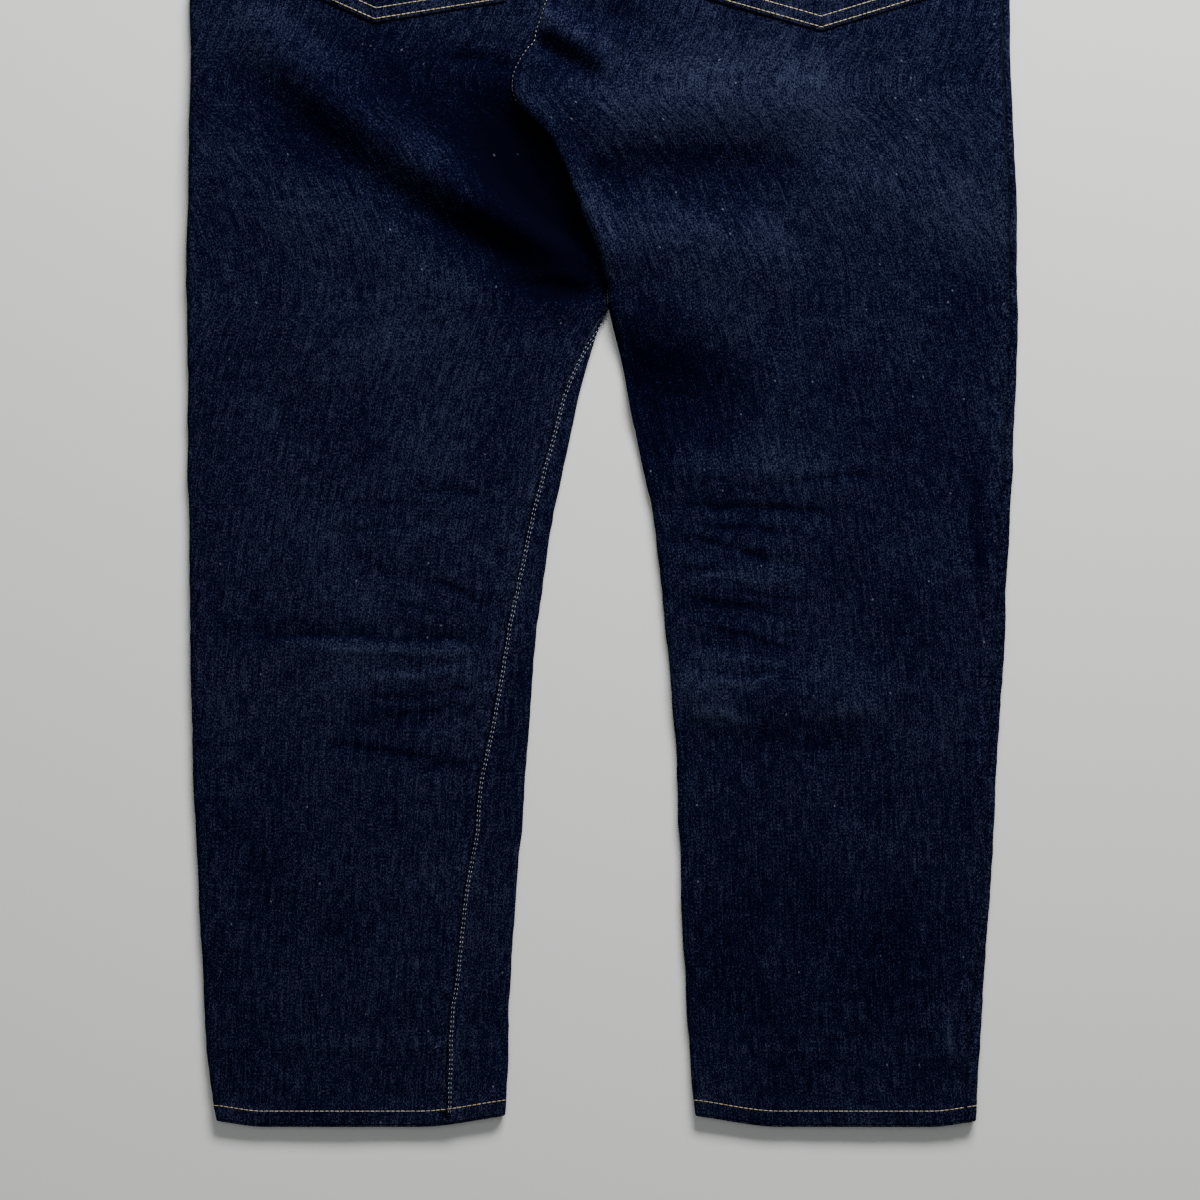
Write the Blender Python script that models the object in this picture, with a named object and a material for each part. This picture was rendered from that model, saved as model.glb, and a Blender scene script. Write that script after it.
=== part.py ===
"""Straight leg jeans in stiff denim, laid flat with the back side up.

The garment lies face down: the front panels rest on the surface (Z = 0) and the
back panels lie on them.  +Y runs from the hems to the waist, +X to the viewer's
right when the back is seen from above.  The tables and sizes are in millimetres
and become metres when a mesh is made.  The origin is the middle of the underside.
"""
import math

import bmesh
import bpy
import numpy as np

for old in list(bpy.data.objects):
    bpy.data.objects.remove(old, do_unlink=True)

# ---------------------------------------------------------------- sizes, in mm
MM = 0.001
WALL = 1.2              # denim wall of every panel
SEAM_GAP = 0.36         # distance kept between two pieces that meet
LAYER_GAP = 0.35        # distance kept between two pieces that lie on each other
LAP_SWELL = 3.75        # height of the lapping edge's middle above the seam below it
LAP_TUCK = 3.0          # tuck at which the lap stands at that height
SEAT_CLEAR = 1.35       # the left back panel stops this far from the upright seat edge
SIDE_CLEAR = 0.7        # more room at the side seams beside the curved hips
TIP_CLEAR, TIP_REACH = 1.3, 34.0        # more room where four panels meet at the crotch
EDGE_ROLL = 3.2         # how far in from the silhouette the cloth rolls over
EDGE_RISE = 2.7         # height of the rolled edge's middle above the lower sheet
FOLD_FULL = 0.85        # how soon a fold reaches its full rise from its ends
FOLD_POINT = 0.16       # how much its ends come to a point
FOLDS_END = 285.0       # the folds die away above this height, under the pockets
LAID_SHARP = 1.6        # how sharply a deep valley flattens on the lower sheet
LAID_MIN = 1.75         # least distance between the two sheets' middles
LEFT, RIGHT = -1, 1
BACK, FRONT = 1, -1

CROTCH_X, CROTCH_Y = 4.9, 64.4
HEM_Y = -509.6
WAIST_TOP = 509.6
BAND_HEIGHT = 39.5
BAND_WALL = 2.4         # waistband strip, folded double
BAND_BOTTOM = WAIST_TOP - BAND_HEIGHT
BAND_OVERLAP = 24.0     # half of the button overlap at the centre front
BAND_CLIMB = 45.0       # length over which the inner end climbs onto the outer end
BAND_RISE = 3.2         # the waist rests on its loops and its button
BAND_SPREAD = 70.0      # length over which the cloth comes up to that height
BAND_LOW = 1.2          # middle of the band's lower layer above that height
BAND_HIGH = 6.75        # middle of its upper layer
YOKE_CENTRE, YOKE_SIDE = 409.5, 439.0
YOKE_REACH = 250.0      # centre back to side, where the yoke is lowest and highest
YOKE_SPREAD = 135.0     # how far down the panel its rows follow the yoke seam

HEM_DEPTH = 13.0        # height of the turned-in hem
HEM_WALL = 1.6          # thickness of the turned-in hem
HEM_IN_CORNER = 9.0     # how far the hem's corners stand above its middle
HEM_OUT_CORNER = 4.5
HEM_SPREAD = 90.0       # how far up the leg that bow is felt

POCKET_WALL = 1.2
FACING_WALL = 1.2
MOUTH_TOP, MOUTH_SIDE = 105.0, 88.0     # front pocket mouth, along waist and side
MOUTH_LEDGE = 22.0      # straight lower end of the mouth
FACING_TUCK = 16.0
FACING_GAP = 0.8
FLY_WIDTH, FLY_LENGTH = 42.0, 165.0
ROLL_POINTS = 5         # columns of points round a rolled edge
CROWD = 0.55            # least distance between two columns of points
FLY_POINT = 0.55        # width of its lower end as a share of the whole
FLY_GAP = 0.5
LOOP_WIDTH, LOOP_LENGTH, LOOP_WALL = 12.0, 43.0, 1.5
LOOP_STAND = 1.1        # how far a belt loop stands off in its middle
BUTTON_RADIUS, BUTTON_HEIGHT, BUTTON_CAP = 8.5, 2.85, 2.1
SHANK_RADIUS = 4.0
BUTTON_SIDES = 28
POCKET_GAP = 0.5        # a pocket lies on its panel at this distance

# Steps between the points of each piece, across and along
BACK_STEPS = 14
FRONT_STEPS = 5
YOKE_ROWS = 3
FACING_ROWS = 5
HEM_ROWS, HEM_STEPS = 2, 12
POCKET_STEPS = 8
BAND_ROWS, BAND_STEPS = 2, 12
FLY_ROWS, FLY_STEPS = 6, 2
LOOP_ROWS = 6

# Silhouette: distance from the middle line to each leg's outer and inner edge.
# From the crotch up the inner edge is the centre back seam (lap) and centre front.
SILHOUETTE = ("y", "left_out", "left_in", "right_in", "right_out")
SILHOUETTE_ROWS = (
    (-510, 268.0, 68.8, 66.6, 260.5),
    (-490, 272.0, 67.4, 64.6, 261.4),
    (-457, 275.8, 65.9, 61.6, 263.9),
    (-436, 276.5, 65.6, 60.2, 264.8),
    (-394, 278.6, 64.2, 58.1, 267.4),
    (-352, 280.9, 60.9, 56.2, 270.2),
    (-310, 283.4, 57.4, 54.7, 272.6),
    (-268, 285.0, 54.0, 53.2, 274.6),
    (-226, 285.8, 51.1, 50.8, 277.6),
    (-184, 286.8, 48.1, 47.2, 280.0),
    (-142, 287.7, 43.4, 43.4, 281.6),
    (-100, 288.3, 37.9, 38.6, 283.6),
    (-58, 288.6, 29.6, 31.4, 285.8),
    (-16, 289.1, 20.4, 22.2, 287.7),
    (5, 289.2, 15.4, 18.2, 288.5),
    (26, 289.6, 9.6, 14.0, 289.1),
    (47, 289.8, 3.0, 8.6, 289.7),
    (64.4, 289.8, -4.9, 4.9, 289.8),
    (110, 289.4, -4.9, 4.9, 289.4),
    (152, 288.4, -4.9, 4.9, 288.4),
    (215, 287.2, -4.9, 4.9, 285.4),
    (278, 287.6, -4.9, 4.9, 284.2),
    (320, 286.4, -4.9, 4.9, 283.2),
    (360, 281.6, -4.9, 4.9, 279.4),
    (400, 271.5, -4.9, 4.9, 269.8),
    (440, 254.5, -4.9, 4.9, 253.5),
    (470, 241.0, -4.9, 4.9, 240.0),
    (510, 234.0, -4.9, 4.9, 233.0),
)

# Where the two back panels meet above the crotch: x of the lapping edge, how far
# the seam is tucked back under it, and the radius of the soft roll there.
SEAT_SEAM = ("y", "edge_x", "tuck", "roll")
SEAT_SEAM_ROWS = (
    (64.4, 4.9, 0.0, 3.2),
    (75, 4.8, 1.0, 3.6),
    (89, 1.5, 3.0, 4.6),
    (103, -2.8, 4.5, 5.6),
    (124, -11.9, 5.5, 6.6),
    (147, -20.5, 5.5, 7.0),
    (169, -29.4, 4.5, 7.0),
    (190, -43.4, 2.5, 6.4),
    (206, -59.0, 0.2, 5.6),
    (222, -61.6, 0.0, 5.0),
    (251, -46.9, 0.0, 5.0),
    (278, -37.8, 0.0, 5.0),
    (320, -26.5, 0.0, 3.6),
    (365, -16.5, 0.0, 2.0),
    (409, -9.0, 0.0, 1.2),
    (470, -4.2, 0.0, 1.2),
    (510, -2.8, 0.0, 1.2),
)

# Distance of each side seam from the nearest edge, along the cloth.  Positive lies
# on the upper sheet, negative has rolled over to the underside.
SEAMS = ("y", "left_inseam", "right_inseam", "left_outseam", "right_outseam")
SEAM_ROWS = (
    (-510, 42.5, -32.0, -12.0, 9.6),
    (-451, 43.8, -31.0, -12.0, 8.8),
    (-395, 40.0, -30.0, -12.0, 7.4),
    (-343, 38.0, -28.0, -12.0, 6.4),
    (-317, 35.2, -27.0, -12.0, 6.0),
    (-276, 34.4, -25.0, -12.0, 6.6),
    (-232, 29.0, -23.0, -12.0, 7.6),
    (-187, 24.2, -21.0, -12.0, 8.0),
    (-142, 21.4, -19.0, -12.0, 7.8),
    (-104, 18.6, -16.0, -12.0, 7.6),
    (-66, 17.0, -13.0, -12.0, 7.6),
    (-30, 15.0, -9.5, -12.0, 7.6),
    (8, 12.6, -6.0, -12.0, 7.6),
    (46, 5.0, -2.2, -12.0, 7.6),
    (64.4, 0.6, -0.3, -12.0, 7.6),
    (300, 0.6, -0.3, -12.0, 7.6),
    (510, 0.6, -0.3, -12.0, 7.6),
)

# Height of the upper sheet's middle above the lower sheet's middle, lying slack.
LOFT = ("y", "left", "right")
LOFT_ROWS = (
    (-510, 5.7, 5.7),
    (-492, 5.7, 5.7),
    (-465, 5.0, 5.0),
    (-350, 4.6, 4.6),
    (-150, 5.0, 5.0),
    (0, 5.4, 5.8),
    (80, 6.6, 9.0),
    (160, 8.0, 11.0),
    (240, 7.2, 9.4),
    (300, 6.0, 7.0),
    (380, 6.0, 6.2),
    (440, 6.0, 6.0),
    (510, 6.0, 6.0),
)

# Folds of the back: a ridge (rise above 0) or a valley (below 0) from one end to
# the other, bowed sideways in its middle, with its half width at each end.
FOLD_COLUMNS = ("panel", "x0", "y0", "x1", "y1", "bow", "wide0", "wide1", "rise")
FOLDS = (
    # drag folds from the left hip down to the crotch
    (LEFT, -266, 282, 20, 82, -18, 25, 9, 8.5),
    (LEFT, -262, 238, 4, 60, -15, 22, 10, -4.2),
    (LEFT, -92, 226, 2, 80, -9, 25, 13, -8.6),
    (LEFT, -120, 240, -50, 226, 0, 8, 8, -2.0),
    (LEFT, -76, 76, 10, 74, 0, 6, 8, -2.6),
    (LEFT, -250, 150, -60, 40, 10, 30, 26, 2.0),
    (LEFT, -240, 40, -50, 10, 6, 30, 26, 1.2),
    # the right seat, pushed over the left
    (RIGHT, -50, 272, 16, 222, 0, 8, 12, 5.0),
    (RIGHT, -56, 252, 4, 222, 0, 8, 10, -5.0),
    (RIGHT, -44, 286, 34, 256, 0, 9, 13, -3.0),
    (RIGHT, -96, 188, 196, 206, 4, 21, 34, 6.0),
    (RIGHT, -52, 196, 18, 72, 2, 14, 14, 7.0),
    (RIGHT, -36, 148, 150, 158, 2, 15, 26, -4.4),
    (RIGHT, -6, 104, 150, 78, 10, 20, 30, 5.4),
    (RIGHT, 0, 66, 120, 50, 0, 26, 28, 3.6),
    (RIGHT, 8, 56, 44, -70, 0, 16, 14, -3.0),
    (RIGHT, 10, 6, 110, -24, 8, 26, 26, -3.4),
    (RIGHT, 20, -52, 190, -62, 4, 14, 18, 2.6),
    (RIGHT, 120, 150, 276, 110, 6, 30, 34, 2.2),
    # behind the right knee
    (RIGHT, 84, -66, 216, -54, 0, 7, 7, -0.7),
    (RIGHT, 56, -76, 180, -85, 0, 6, 6, -1.0),
    (RIGHT, 32, -97, 150, -118, -3, 6, 7, -1.2),
    (RIGHT, 36, -108, 146, -128, 0, 7, 7, 0.8),
    (RIGHT, 42, -130, 142, -136, 0, 7, 8, 0.9),
    (RIGHT, 38, -149, 142, -155, 2, 6, 7, -1.1),
    (RIGHT, 44, -165, 134, -180, 0, 6, 7, -0.9),
    (RIGHT, 26, -202, 220, -208, -6, 22, 24, 3.6),
    (RIGHT, 44, -240, 214, -240, -5, 15, 18, -2.0),
    # behind the left knee
    (LEFT, -134, -60, -72, -73, 0, 7, 7, -0.7),
    (LEFT, -184, -76, -94, -92, 0, 7, 7, -0.8),
    (LEFT, -198, -110, -68, -152, 3, 7, 8, -0.8),
    (LEFT, -280, -166, -62, -171, 4, 6, 7, -1.2),
    (LEFT, -226, -176, -66, -183, 2, 8, 8, 0.9),
    (LEFT, -196, -202, -72, -188, -5, 8, 8, 0.9),
    (LEFT, -192, -230, -68, -214, -5, 7, 7, -0.9),
    (LEFT, -212, -244, -70, -268, 5, 8, 8, -0.9),
    # slack waves lower down
    (LEFT, -240, -330, -90, -352, 4, 26, 24, 1.2),
    (RIGHT, 90, -318, 250, -332, 4, 26, 28, 1.2),
    (RIGHT, 236, -420, 243, -474, 0, 8, 8, 1.6),
)

# Back pockets: corners in pocket order, x and y on the garment.
POCKET_COLUMNS = ("side", "tip_x", "tip_y", "in_x", "in_y", "out_x", "out_y",
                  "top_in_x", "top_in_y", "top_out_x", "top_out_y")
POCKET_ROWS = (
    (LEFT, -159, 261, -66, 276, -251, 302, -43, 394, -243, 421),
    (RIGHT, 153, 255, 61, 281, 248, 284, 50, 397, 252, 403),
)

# Belt loops: the sheet they sit on and their x.
LOOPS = (
    ("belt_loop_back", BACK, 0.0),
    ("belt_loop_back_left", BACK, -142.0),
    ("belt_loop_back_right", BACK, 142.0),
    ("belt_loop_front_left", FRONT, -118.0),
    ("belt_loop_front_right", FRONT, 118.0),
)

# Rows of points along a panel: from, to, and how many steps between them.
LEG_RUNS = (
    (HEM_Y, -486, 1), (-486, -280, 7), (-280, -40, 15), (-40, 40, 5), (40, CROTCH_Y, 3),
)
SEAT_RUNS = ((CROTCH_Y, 80, 2), (80, 270, 13), (270, YOKE_CENTRE, 5))
FRONT_RUNS = ((CROTCH_Y, 80, 2), (80, 300, 4), (300, BAND_BOTTOM, 8))


# ------------------------------------------------------------- reading a table
def curve(names, rows, name, y):
    """Read one column of a table at height y, smoothly between its rows."""
    table = np.array(rows, dtype=float)
    ys = table[:, 0]
    values = table[:, names.index(name)]
    slopes = np.gradient(values, ys)
    y = np.clip(y, ys[0], ys[-1])
    i = np.clip(np.searchsorted(ys, y, side="right") - 1, 0, len(ys) - 2)
    step = ys[i + 1] - ys[i]
    u = (y - ys[i]) / step
    return ((2 * u**3 - 3 * u**2 + 1) * values[i] + (u**3 - 2 * u**2 + u) * step * slopes[i]
            + (3 * u**2 - 2 * u**3) * values[i + 1] + (u**3 - u**2) * step * slopes[i + 1])


def smooth(low, high, value):
    """0 below low, 1 above high, with a soft change between."""
    u = np.clip((value - low) / (high - low), 0.0, 1.0)
    return u * u * (3 - 2 * u)


def runs(spans):
    """Heights of the rows that a table of runs gives."""
    ys = [spans[0][0]]
    for start, end, steps in spans:
        ys += [start + (end - start) * k / steps for k in range(1, steps + 1)]
    return np.array(ys, dtype=float)


# ------------------------------------------------------- the shape of the cloth
def fold_height(side, x, y):
    """Sum of one panel's ridges and valleys at x, y."""
    total = np.zeros(np.broadcast(x, y).shape)
    for row in FOLDS:
        at = dict(zip(FOLD_COLUMNS, row))
        if at["panel"] != side:
            continue
        x0, y0, x1, y1 = at["x0"], at["y0"], at["x1"], at["y1"]
        length = math.hypot(x1 - x0, y1 - y0)
        ux, uy = (x1 - x0) / length, (y1 - y0) / length
        along = np.clip(((x - x0) * ux + (y - y0) * uy) / length, 0.0, 1.0)
        swell = 4 * along * (1 - along)
        off = (y - y0) * ux - (x - x0) * uy - at["bow"] * swell
        off = off / (at["wide0"] + (at["wide1"] - at["wide0"]) * along)
        fade = smooth(0.0, FOLD_FULL, swell - FOLD_POINT * off**2)
        total = total + at["rise"] * fade * np.exp(-off**2)
    return total


def floor_rise(y):
    """How far the cloth is off the surface: only the waist is held up."""
    return BAND_RISE * smooth(BAND_BOTTOM - BAND_SPREAD, BAND_BOTTOM, y)


def seat_edge(y):
    """x of the lapping edge of the right back panel above the crotch."""
    return curve(SEAT_SEAM, SEAT_SEAM_ROWS, "edge_x", y)


def inner_edge(side, sheet, y):
    """Distance from the middle line to a sheet's inner edge."""
    name = "left_in" if side == LEFT else "right_in"
    leg = curve(SILHOUETTE, SILHOUETTE_ROWS, name, np.minimum(y, CROTCH_Y))
    if sheet == FRONT:
        return np.where(y > CROTCH_Y, side * CROTCH_X, leg)
    if side == LEFT:
        seam = seat_edge(y) + curve(SEAT_SEAM, SEAT_SEAM_ROWS, "tuck", y)
        return np.where(y > CROTCH_Y, -seam, leg)
    return np.where(y > CROTCH_Y, seat_edge(y), leg)


def outer_edge(side, y):
    return curve(SILHOUETTE, SILHOUETTE_ROWS, "left_out" if side == LEFT else "right_out", y)


def upper_height(side, x, y):
    """Height of a back panel's middle above the lower sheet's, away from its edges."""
    loft = curve(LOFT, LOFT_ROWS, "left" if side == LEFT else "right", y)
    height = loft + fold_height(side, x, y) * (1 - smooth(FOLDS_END, FOLDS_END + 45.0, y))
    return LAID_MIN + np.logaddexp(0.0, (height - LAID_MIN) * LAID_SHARP) / LAID_SHARP


def tip_rise(x, y):
    """0 at the fork between the legs, 1 one roll away from it and beyond."""
    away = np.hypot(x - CROTCH_X, np.maximum(y - CROTCH_Y, 0.0))
    u = np.clip(away / EDGE_ROLL, 0.0, 1.0)
    return np.where(y >= CROTCH_Y, np.sqrt(1 - (1 - u)**2), 1.0)


def left_seam_height(y):
    """Height of the left back panel's middle where the seat seam joins it."""
    x = seat_edge(y) + curve(SEAT_SEAM, SEAT_SEAM_ROWS, "tuck", y)
    height = upper_height(LEFT, x, y)
    return EDGE_RISE + (height - EDGE_RISE) * tip_rise(x, y)


def place(side, sheet, g, y):
    """Point of the laid cloth at girth g along the row y.

    g runs along the cloth from the inner edge to the outer edge, on the upper
    sheet for BACK and on the lower sheet for FRONT.  Below 0 the cloth has rolled
    over the inner edge to the other sheet, and past the outer edge likewise.
    """
    trunk = y > CROTCH_Y
    a_in = inner_edge(side, sheet, y)
    a_out = outer_edge(side, y)
    lapping = (side == RIGHT) and (sheet == BACK)
    roll_in = np.where(trunk, curve(SEAT_SEAM, SEAT_SEAM_ROWS, "roll", y) if lapping else 1e-6,
                       EDGE_ROLL)
    quarter_in, quarter_out = roll_in * math.pi / 2, EDGE_ROLL * math.pi / 2
    full = (a_out - a_in) - roll_in - EDGE_ROLL + quarter_in + quarter_out
    near_in = g < full / 2
    h = np.where(near_in, g, full - g)
    roll = np.where(near_in, roll_in, EDGE_ROLL)
    phi = np.clip(np.abs(h) / roll, 0.0, math.pi / 2)
    inset = roll * (1 - np.cos(phi)) + np.maximum(np.abs(h) - roll * math.pi / 2, 0.0)
    x = side * np.where(near_in, a_in + inset, a_out - inset)
    turn = np.sin(phi)
    low = np.zeros_like(x)
    middle = np.full_like(x, EDGE_RISE)
    if lapping:
        tuck = curve(SEAT_SEAM, SEAT_SEAM_ROWS, "tuck", y)
        seam = left_seam_height(y)
        low = np.where(trunk & near_in, seam, 0.0)
        swell = LAP_SWELL * np.clip(tuck / LAP_TUCK, 0.0, 1.0)
        middle = np.where(trunk & near_in, seam + swell, middle)
    high = upper_height(side, x, y)
    on_top = (h >= 0) == (sheet == BACK)
    if not lapping:
        tip = tip_rise(x, y)
        high = np.where(trunk & near_in, EDGE_RISE + (high - EDGE_RISE) * tip, high)
        low = np.where(trunk & near_in, EDGE_RISE * (1 - tip), low)
    z = np.where(on_top, middle + (high - middle) * turn, middle - (middle - low) * turn)
    return x, z + WALL / 2 + floor_rise(y)


def full_girth(side, sheet, y):
    """Length of the cloth along a row from the inner edge to the outer edge."""
    lapping = (side == RIGHT) and (sheet == BACK)
    roll_in = np.where(y > CROTCH_Y,
                       curve(SEAT_SEAM, SEAT_SEAM_ROWS, "roll", y) if lapping else 1e-6,
                       EDGE_ROLL)
    bend = (math.pi / 2 - 1) * (roll_in + EDGE_ROLL)
    return outer_edge(side, y) - inner_edge(side, sheet, y) + bend


def mouth_inset(y):
    """How far the front panel is cut back from the side seam at its pocket mouth."""
    u = (y - (BAND_BOTTOM - MOUTH_SIDE)) / MOUTH_SIDE
    curved = MOUTH_LEDGE + (MOUTH_TOP - MOUTH_LEDGE) * np.sin(np.clip(u, 0.0, 1.0) * math.pi / 2)
    return np.where(u > 0.0, curved, 0.0)


def panel_ends(side, sheet, y):
    """Girth at which a panel starts at its inner seam and ends at its side seam."""
    inseam = curve(SEAMS, SEAM_ROWS, "left_inseam" if side == LEFT else "right_inseam", y)
    outseam = curve(SEAMS, SEAM_ROWS, "left_outseam" if side == LEFT else "right_outseam", y)
    full = full_girth(side, sheet, y)
    trunk = y > CROTCH_Y
    half = SEAM_GAP / 2
    near_tip = TIP_CLEAR * (1 - smooth(0.0, TIP_REACH, np.abs(y - CROTCH_Y)))
    if sheet == FRONT:
        start = np.where(trunk, 0.0, -inseam)
        side_gap = np.where(trunk, half + SIDE_CLEAR, half)
        return start + half + near_tip, full + outseam - side_gap - mouth_inset(y)
    if side == RIGHT:
        tuck = curve(SEAT_SEAM, SEAT_SEAM_ROWS, "tuck", y)
        return np.where(trunk, -tuck, inseam + near_tip) + half, full - outseam - half
    start = np.where(trunk, SEAT_CLEAR, inseam + half) + near_tip
    return start, full - outseam - half


def girths(side, sheet, y, steps):
    """Girths of a grid: close together where the cloth rolls over, even between."""
    start, end = panel_ends(side, sheet, y)
    full = full_girth(side, sheet, y)
    quarter = EDGE_ROLL * math.pi / 2
    roll = (-quarter, -quarter / 2, 0.0, quarter / 2, quarter)
    inner = (side == RIGHT) == (sheet == BACK)
    first = [start]
    last = [end]
    for k, mark in enumerate(roll, 1):
        if inner:
            first.append(np.maximum(start + CROWD * k, mark))
        else:
            last.append(np.minimum(end - CROWD * k, full - mark))
    span = last[-1] - first[-1]
    middle = [first[-1] + span * k / steps for k in range(1, steps)]
    marks = first + middle + last[::-1]
    return np.stack([mark[:, j] for j, mark in enumerate(marks)], axis=1)


def hem_shift(side, x, y):
    """The hem's edge bows a little: its corners stand above its middle."""
    a = side * x
    width = outer_edge(side, y) - inner_edge(side, BACK, y)
    u = np.clip((a - inner_edge(side, BACK, y)) / width, 0.0, 1.0)
    bow = HEM_IN_CORNER * (1 - smooth(-0.1, 0.3, u)) + HEM_OUT_CORNER * smooth(0.84, 1.05, u)
    return bow * (1 - smooth(HEM_Y, HEM_Y + HEM_SPREAD, y))


def yoke_shift(x, y):
    """The yoke seam rises from the centre back to the side."""
    rise = (YOKE_SIDE - YOKE_CENTRE) * np.abs(x) / YOKE_REACH
    return rise * smooth(YOKE_CENTRE - YOKE_SPREAD, YOKE_CENTRE - SEAM_GAP, y)


def panel_grid(side, sheet, y_rows, steps, shift):
    """Middle points of a panel: x, y and z, a row for each height."""
    y = np.repeat(np.asarray(y_rows, dtype=float)[:, None], steps + ROLL_POINTS + 1, axis=1)
    x, z = place(side, sheet, girths(side, sheet, y, steps), y)
    y = y + shift(x, y)
    x, z = place(side, sheet, girths(side, sheet, y, steps), y)
    return x, y, z


# ------------------------------------------------------------------ the meshes
def material(name, colour, roughness, metallic=0.0):
    mat = bpy.data.materials.new(name)
    mat.use_nodes = True
    shader = mat.node_tree.nodes["Principled BSDF"]
    shader.inputs["Base Color"].default_value = (*colour, 1.0)
    shader.inputs["Roughness"].default_value = roughness
    shader.inputs["Metallic"].default_value = metallic
    return mat


def grid_object(name, xs, ys, zs, wall, mat, ring=False):
    """A cloth wall on a grid of middle points, thickened evenly on both sides."""
    rows, cols = xs.shape
    mesh = bpy.data.meshes.new(name)
    bm = bmesh.new()
    verts = [[bm.verts.new((xs[i, j] * MM, ys[i, j] * MM, zs[i, j] * MM))
              for j in range(cols)] for i in range(rows)]
    for i in range(rows - 1):
        for j in range(cols if ring else cols - 1):
            k = (j + 1) % cols
            bm.faces.new((verts[i][j], verts[i][k], verts[i + 1][k], verts[i + 1][j]))
    bm.to_mesh(mesh)
    bm.free()
    mesh.materials.append(mat)
    mesh.shade_smooth()
    obj = bpy.data.objects.new(name, mesh)
    bpy.context.scene.collection.objects.link(obj)
    thicken = obj.modifiers.new("wall", "SOLIDIFY")
    thicken.thickness = wall * MM
    thicken.offset = 0.0
    thicken.use_even_offset = True
    thicken.use_quality_normals = True
    return obj


def leg_panels(side, word, back_mat, front_mat):
    """One leg's back panel, hem to yoke, and its front panel, hem to waistband."""
    rows = runs(LEG_RUNS + SEAT_RUNS)
    rows[-1] -= SEAM_GAP / 2
    x, y, z = panel_grid(side, BACK, rows, BACK_STEPS,
                         lambda x, y: hem_shift(side, x, y) + yoke_shift(x, y))
    grid_object("back_" + word, x, y, z, WALL, back_mat)

    mouth_y = BAND_BOTTOM - MOUTH_SIDE
    rows = np.sort(np.append(runs(LEG_RUNS + FRONT_RUNS), (mouth_y, mouth_y + 0.5)))
    rows[-1] -= SEAM_GAP / 2
    x, y, z = panel_grid(side, FRONT, rows, FRONT_STEPS, lambda x, y: hem_shift(side, x, y))
    grid_object("front_" + word, x, y, z, WALL, front_mat)


def yoke(side, word, mat):
    """The tapered strip between a back panel and the waistband."""
    base = np.full(1, YOKE_CENTRE)
    low = panel_grid(side, BACK, base, BACK_STEPS, yoke_shift)[1] + SEAM_GAP / 2
    share = np.linspace(0.0, 1.0, YOKE_ROWS + 1)[:, None]
    y = low + (BAND_BOTTOM - SEAM_GAP / 2 - low) * share
    x, z = place(side, BACK, girths(side, BACK, y, BACK_STEPS), y)
    grid_object("yoke_" + word, x, y, z, WALL, mat)


def pocket_facing(side, word, mat):
    """Cloth behind a front pocket mouth, tucked under the front panel's edge."""
    low = BAND_BOTTOM - MOUTH_SIDE + 0.5 + FACING_GAP
    y = np.linspace(low, BAND_BOTTOM - SEAM_GAP / 2, FACING_ROWS + 1)[:, None]
    edge = panel_ends(side, FRONT, y)[1]
    end = edge + mouth_inset(y) - SIDE_CLEAR
    start = edge - FACING_TUCK
    full = full_girth(side, FRONT, y)
    quarter = EDGE_ROLL * math.pi / 2
    marks = [start, (start + edge) / 2, edge + 1.5, edge + 8.0]
    outer = [np.minimum(end - CROWD * k, full + quarter * (2 - k) / 2) for k in (5, 4, 3, 2, 1)]
    marks += [marks[-1] + (outer[0] - marks[-1]) * k / 3 for k in (1, 2)] + outer + [end]
    g = np.concatenate(marks, axis=1)
    y = np.repeat(y, g.shape[1], axis=1)
    x, z = place(side, FRONT, g, y)
    behind = WALL / 2 + LAYER_GAP + FACING_WALL / 2
    z = z + behind * (1 - smooth(edge + 1.6, edge + 7.9, g))
    grid_object("pocket_facing_" + word, x, y, z, FACING_WALL, mat)


def hem(side, word, mat):
    """The turned-in hem: a ring of cloth inside the leg's mouth."""
    inset = WALL / 2 + LAYER_GAP + HEM_WALL / 2
    roll = EDGE_ROLL - inset
    y = HEM_Y + np.linspace(0.0, HEM_DEPTH, HEM_ROWS + 1)[:, None]
    a_in = inner_edge(side, BACK, y) + inset
    a_out = outer_edge(side, y) - inset
    across = a_in + roll + (a_out - a_in - 2 * roll) * np.linspace(0.0, 1.0, HEM_STEPS + 1)
    bend = np.radians((30.0, 60.0, 90.0, 120.0, 150.0))
    a = np.concatenate((across, a_out - roll + roll * np.sin(bend), across[:, ::-1],
                        a_in + roll - roll * np.sin(bend)), axis=1)
    up = np.concatenate((np.ones(across.shape[1]), np.cos(bend), -np.ones(across.shape[1]),
                         -np.cos(bend)))
    x = side * a
    y = np.repeat(y, a.shape[1], axis=1)
    y = y + hem_shift(side, x, y)
    low = inset
    high = upper_height(side, x, y) - inset
    z = (low + high) / 2 + (high - low) / 2 * up + WALL / 2
    grid_object("hem_" + word, x, y, z, HEM_WALL, mat, ring=True)


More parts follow.
